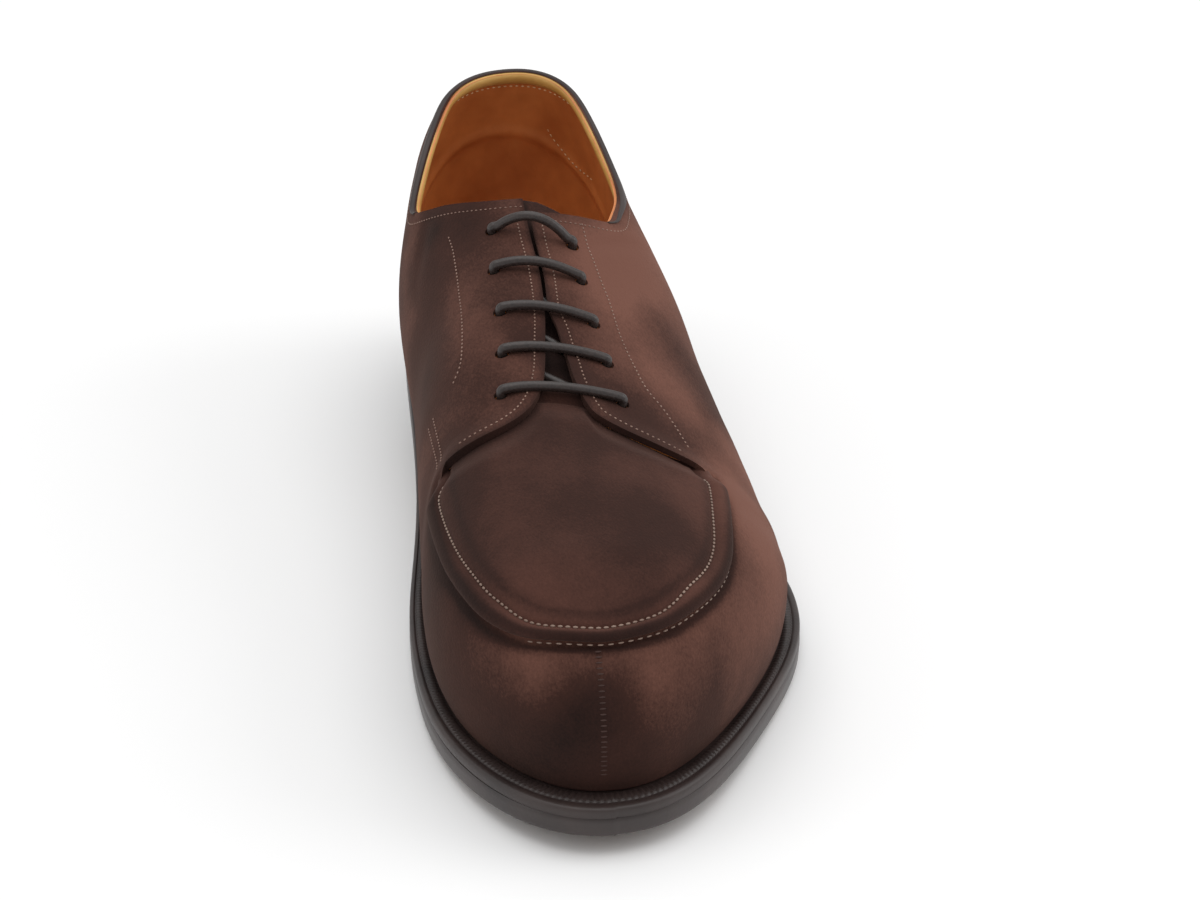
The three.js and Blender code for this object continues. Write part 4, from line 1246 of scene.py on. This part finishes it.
def stitch_tree():
    """Geometry nodes: short round threads set along a path, tilted to the surface."""
    tree = bpy.data.node_groups.new("stitch_row", "GeometryNodeTree")
    new_sockets(tree, "INPUT", "Geometry", "Geometry")
    new_sockets(tree, "INPUT", "Float", "Pitch", "Length", "Width", "Height")
    new_sockets(tree, "INPUT", "Material", "Thread")
    new_sockets(tree, "OUTPUT", "Geometry", "Geometry")
    enter = tree.nodes.new("NodeGroupInput").outputs
    line = add(tree, "GeometryNodeMeshToCurve", {"Mesh": enter["Geometry"]})
    spaced = tree.nodes.new("GeometryNodeResampleCurve")
    spaced.mode = "LENGTH"
    wire(tree, spaced, {"Curve": line.outputs["Curve"], "Length": enter["Pitch"]})
    ahead = tree.nodes.new("GeometryNodeInputTangent").outputs["Tangent"]
    upward = tree.nodes.new("GeometryNodeInputNamedAttribute")
    upward.data_type = "FLOAT_VECTOR"
    upward.inputs["Name"].default_value = "up"
    lengthwise = add(tree, "FunctionNodeAlignRotationToVector", {"Vector": ahead})
    lengthwise.axis = "X"
    turned = {"Rotation": lengthwise.outputs["Rotation"], "Vector": upward.outputs["Attribute"]}
    upright = add(tree, "FunctionNodeAlignRotationToVector", turned)
    upright.axis = "Z"
    upright.pivot_axis = "X"
    thread = add(tree, "GeometryNodeMeshUVSphere", {"Segments": 8, "Rings": 5, "Radius": 0.5})
    size = {"X": enter["Length"], "Y": enter["Width"], "Z": enter["Height"]}
    scale = add(tree, "ShaderNodeCombineXYZ", size).outputs["Vector"]
    laid = {"Points": spaced.outputs["Curve"], "Instance": thread.outputs["Mesh"], "Scale": scale}
    laid["Rotation"] = upright.outputs["Rotation"]
    threads = add(tree, "GeometryNodeInstanceOnPoints", laid).outputs["Instances"]
    real = add(tree, "GeometryNodeRealizeInstances", {"Geometry": threads}).outputs["Geometry"]
    dyed = add(tree, "GeometryNodeSetMaterial", {"Geometry": real, "Material": enter["Thread"]})
    add(tree, "NodeGroupOutput", {"Geometry": dyed.outputs["Geometry"]})
    return tree


stitch_nodes = stitch_tree()


def stitches(name, rows, thread, pitch, length, width, height):
    """Rows of stitches; each row is its points and the surface's normals there, in mm."""
    points = np.vstack([row[0] for row in rows])
    normals = np.vstack([row[1] for row in rows])
    edges = []
    first = 0
    for row in rows:
        edges += [(first + k, first + k + 1) for k in range(len(row[0]) - 1)]
        first += len(row[0])
    mesh = bpy.data.meshes.new(name)
    mesh.from_pydata(to_frame(points).tolist(), edges, [])
    upward = mesh.attributes.new("up", "FLOAT_VECTOR", "POINT")
    upward.data.foreach_set("vector", (normals * np.array([1, -1, 1])).ravel().astype(np.float32))
    piece = bpy.data.objects.new(name, mesh)
    bpy.context.scene.collection.objects.link(piece)
    modifier = piece.modifiers.new("stitches", "NODES")
    modifier.node_group = stitch_nodes
    sizes = {"Pitch": pitch, "Length": length, "Width": width, "Height": height}
    values = {label: value * MM for label, value in sizes.items()}
    values["Thread"] = thread
    for socket in stitch_nodes.interface.items_tree:
        if socket.in_out == "INPUT" and socket.name in values:
            modifier[socket.identifier] = values[socket.name]
    graph = bpy.context.evaluated_depsgraph_get()
    result = bpy.data.meshes.new_from_object(piece.evaluated_get(graph))
    piece.modifiers.clear()
    piece.data = result
    result.shade_smooth()
    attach(piece, "root")
    return piece


def row_on_last(line, lift):
    """A row of stitches over a plan line on the side piece or the apron."""
    points = on_last(line, lift)
    foot = on_last(line, 0.0 * np.asarray(lift))
    return points, surface_normal(*foot.T)


THREAD_LIFT = 0.08


def with_relief(line):
    """Lift of a row on the side piece, with that piece's own relief."""
    return side_relief(on_last(line, np.zeros(len(line)))) + THREAD_LIFT


pale_thread = leather("pale_thread", (0.2, 0.13, 0.1), (0.3, 0.21, 0.165), 0.6, 3000, 0.1)
brown_thread = leather("brown_thread", (0.2, 0.115, 0.085), (0.3, 0.185, 0.14), 0.6, 3000, 0.1)

facing_rows = []
for line, side in ((medial_facing, -1), (lateral_facing, 1)):
    row = shifted(line[line[:, 1] > 109], side * 2.9)[1:-4]
    facing_rows.append(row_on_last(row, with_relief(row)))

FACING_OUTER_MEDIAL = {
    "at": [0.353, 0.377, 0.413, 0.445, 0.474, 0.504, 0.536, 0.553, 0.565],
    "across": [-0.647, -0.63, -0.63, -0.637, -0.64, -0.65, -0.674, -0.702, -0.753],
}
FACING_OUTER_LATERAL = {
    "at": [0.368, 0.398, 0.42, 0.446, 0.471, 0.516, 0.559, 0.585, 0.61, 0.65],
    "across": [0.35, 0.373, 0.398, 0.425, 0.452, 0.48, 0.54, 0.59, 0.7, 0.81],
}
for table in (FACING_OUTER_MEDIAL, FACING_OUTER_LATERAL):
    row = plan_line(table, APRON_HALF_WIDTH, 60)
    facing_rows.append(row_on_last(row, with_relief(row)))
# Two short rows hold the inner facing's front end.
for shift in (0.0, 1.3):
    row = np.linspace((-35.1, 173), (-35.0, 196), 20) - (shift, 0)
    facing_rows.append(row_on_last(row, with_relief(row)))
facing_stitches = stitches("facing_stitches", facing_rows, brown_thread, 1.6, 0.8, 0.52, 0.4)

seam_band = band[: len(apron_edge)]
seam_line = apron_inset(apron_edge, STITCH_INSET * seam_band)[6:-6]
apron_stitches = stitches(
    "apron_stitches",
    [row_on_last(seam_line, apron_lift(seam_line) - 0.42)],
    pale_thread,
    1.8, 1.35, 0.68, 0.52,
)
foot_line = shifted(apron_edge, -0.35)[108:214]
foot_row = row_on_last(foot_line, np.full(len(foot_line), 0.1))
foot_stitches = stitches("apron_foot_stitches", [foot_row], pale_thread, 2.4, 1.5, 0.45, 0.4)

collar_edge = collar_path(0.0, 0.0, start=5.0, stop=355.0)
collar_down = collar_frames(collar_edge)[1]
collar_row = onto_last(collar_edge + collar_down * 3.6)
collar_normal = surface_normal(*collar_row.T)
inner_row = collar_path(6.9, -WALL, start=CORNER_MEDIAL + 3, stop=CORNER_LATERAL - 3)
inner_normal = -surface_normal(*inner_row.T)
collar_rows = [(collar_row + collar_normal * THREAD_LIFT, collar_normal)]
collar_stitches = stitches("collar_stitches", collar_rows, brown_thread, 1.5, 0.8, 0.42, 0.34)

# The toe's seam is sewn from inside and shows as a faint ladder of short bars.
LADDER_TOP, LADDER_FOOT, LADDER_X, LADDER_POINTS = 46.5, 19.0, -5.6, 32
ladder_rise = np.linspace(LADDER_TOP, LADDER_FOOT, LADDER_POINTS)
ladder_middle = np.full(LADDER_POINTS, LADDER_X)
ladder_reach = reach(lambda r: (ladder_middle, SPINE_FRONT + r, ladder_rise), (LADDER_POINTS,), 0.0)
ladder_front = SPINE_FRONT + ladder_reach
ladder = np.column_stack([ladder_middle, ladder_front, ladder_rise])
ladder_normal = surface_normal(*ladder.T)
ladder_thread = leather("ladder_thread", (0.036, 0.0155, 0.012), (0.06, 0.027, 0.02), 0.85, 3000, 0.1)
ladder_row = (ladder + ladder_normal * 0.02, ladder_normal)
toe_ladder = stitches("toe_ladder", [ladder_row], ladder_thread, 1.35, 0.42, 1.7, 0.2)
tan_thread = leather("tan_thread", (0.75, 0.5, 0.26), (0.85, 0.62, 0.36), 0.6, 3000, 0.1)
SLANT = [(14, 8.6, 79), (16.1, 9.6, 73.8), (19.6, 11.7, 69.5), (23.9, 16.1, 65.1), (27.8, 23.3, 62.8)]
slant = smooth_path(SLANT, 12)
slant_normal = surface_normal(*slant.T)
slant_lift = 0.15 + counter_rise(slant)
lining_rows = [
    (inner_row + inner_normal * 0.1, inner_normal),
    (slant - slant_normal * slant_lift[:, None], -slant_normal),
]
lining_stitches = stitches("lining_stitches", lining_rows, tan_thread, 1.9, 1.1, 0.45, 0.4)


# Studio
# White paper, a broad soft light over the shoe and a weak fill light from each side. The
# camera stands where the photo's did, turned and enlarged so that one shoe is in the middle.


floor_mesh = bpy.data.meshes.new("floor")
floor_mesh.from_pydata([(-20, -20, 0), (20, -20, 0), (20, 20, 0), (-20, 20, 0)], [], [(0, 1, 2, 3)])
paper = new_material("pale_paper", {"Base Color": (0.9, 0.9, 0.9, 1), "Roughness": 0.7})
floor_mesh.materials.append(paper)
floor = bpy.data.objects.new("floor", floor_mesh)
bpy.context.scene.collection.objects.link(floor)


def aim(direction):
    """Turn of a lamp or camera that looks along a direction."""
    x, y, z = direction / np.linalg.norm(direction)
    return (math.pi / 2 + math.asin(z), 0, math.atan2(-x, y))


def soft_light(name, place, target, size, power):
    light = bpy.data.lights.new(name, "AREA")
    light.shape = "DISK"
    light.size = size
    light.energy = power
    lamp = bpy.data.objects.new(name, light)
    bpy.context.scene.collection.objects.link(lamp)
    lamp.location = place
    lamp.rotation_euler = aim(np.array(target, float) - np.array(place, float))


soft_light("overhead", (0.0, 0.3, 3.0), (0, 0, 0.03), 4.0, 52)
soft_light("left_side", (-1.5, -0.2, 0.7), (0, 0, 0.05), 1.0, 2.5)
soft_light("right_side", (1.5, -0.1, 0.9), (0, 0, 0.05), 1.2, 7)
world = bpy.data.worlds.new("studio")
world.use_nodes = True
world.node_tree.nodes["Background"].inputs["Color"].default_value = (1, 1, 1, 1)
world.node_tree.nodes["Background"].inputs["Strength"].default_value = 0.66
bpy.context.scene.world = world

# The camera as it was fitted to the photo: focal length in pixels, place in mm, turn and tilt.
PHOTO_WIDTH = 1200
FITTED_FOCUS = 2175.9
FITTED_EYE = (-70.27, -776.58, 346.71)
ENLARGED = 1.13
camera_data = bpy.data.cameras.new("camera")
camera_data.sensor_width = 36
camera_data.lens = 36 * FITTED_FOCUS * ENLARGED / PHOTO_WIDTH
camera_data.clip_start = 0.01
camera = bpy.data.objects.new("camera", camera_data)
bpy.context.scene.collection.objects.link(camera)
eye = (np.array(FITTED_EYE) + (-CENTRE_X, CENTRE_S, 0)) * MM
YAW, PITCH = 0.0398, 0.4109
forward = np.array([math.sin(YAW) * math.cos(PITCH), math.cos(YAW) * math.cos(PITCH), -math.sin(PITCH)])
right = np.array([math.cos(YAW), -math.sin(YAW), 0])
upward = np.cross(right, forward)
# Pixels of the photo from the fitted camera's axis to the middle of this picture.
MOVED_RIGHT, MOVED_UP = 786 - 604, 343 - 470
camera.location = eye
sideways = right * (MOVED_RIGHT / FITTED_FOCUS) + upward * (MOVED_UP / FITTED_FOCUS)
camera.rotation_euler = aim(forward + sideways)
bpy.context.scene.camera = camera
bpy.context.scene.view_settings.view_transform = "Standard"
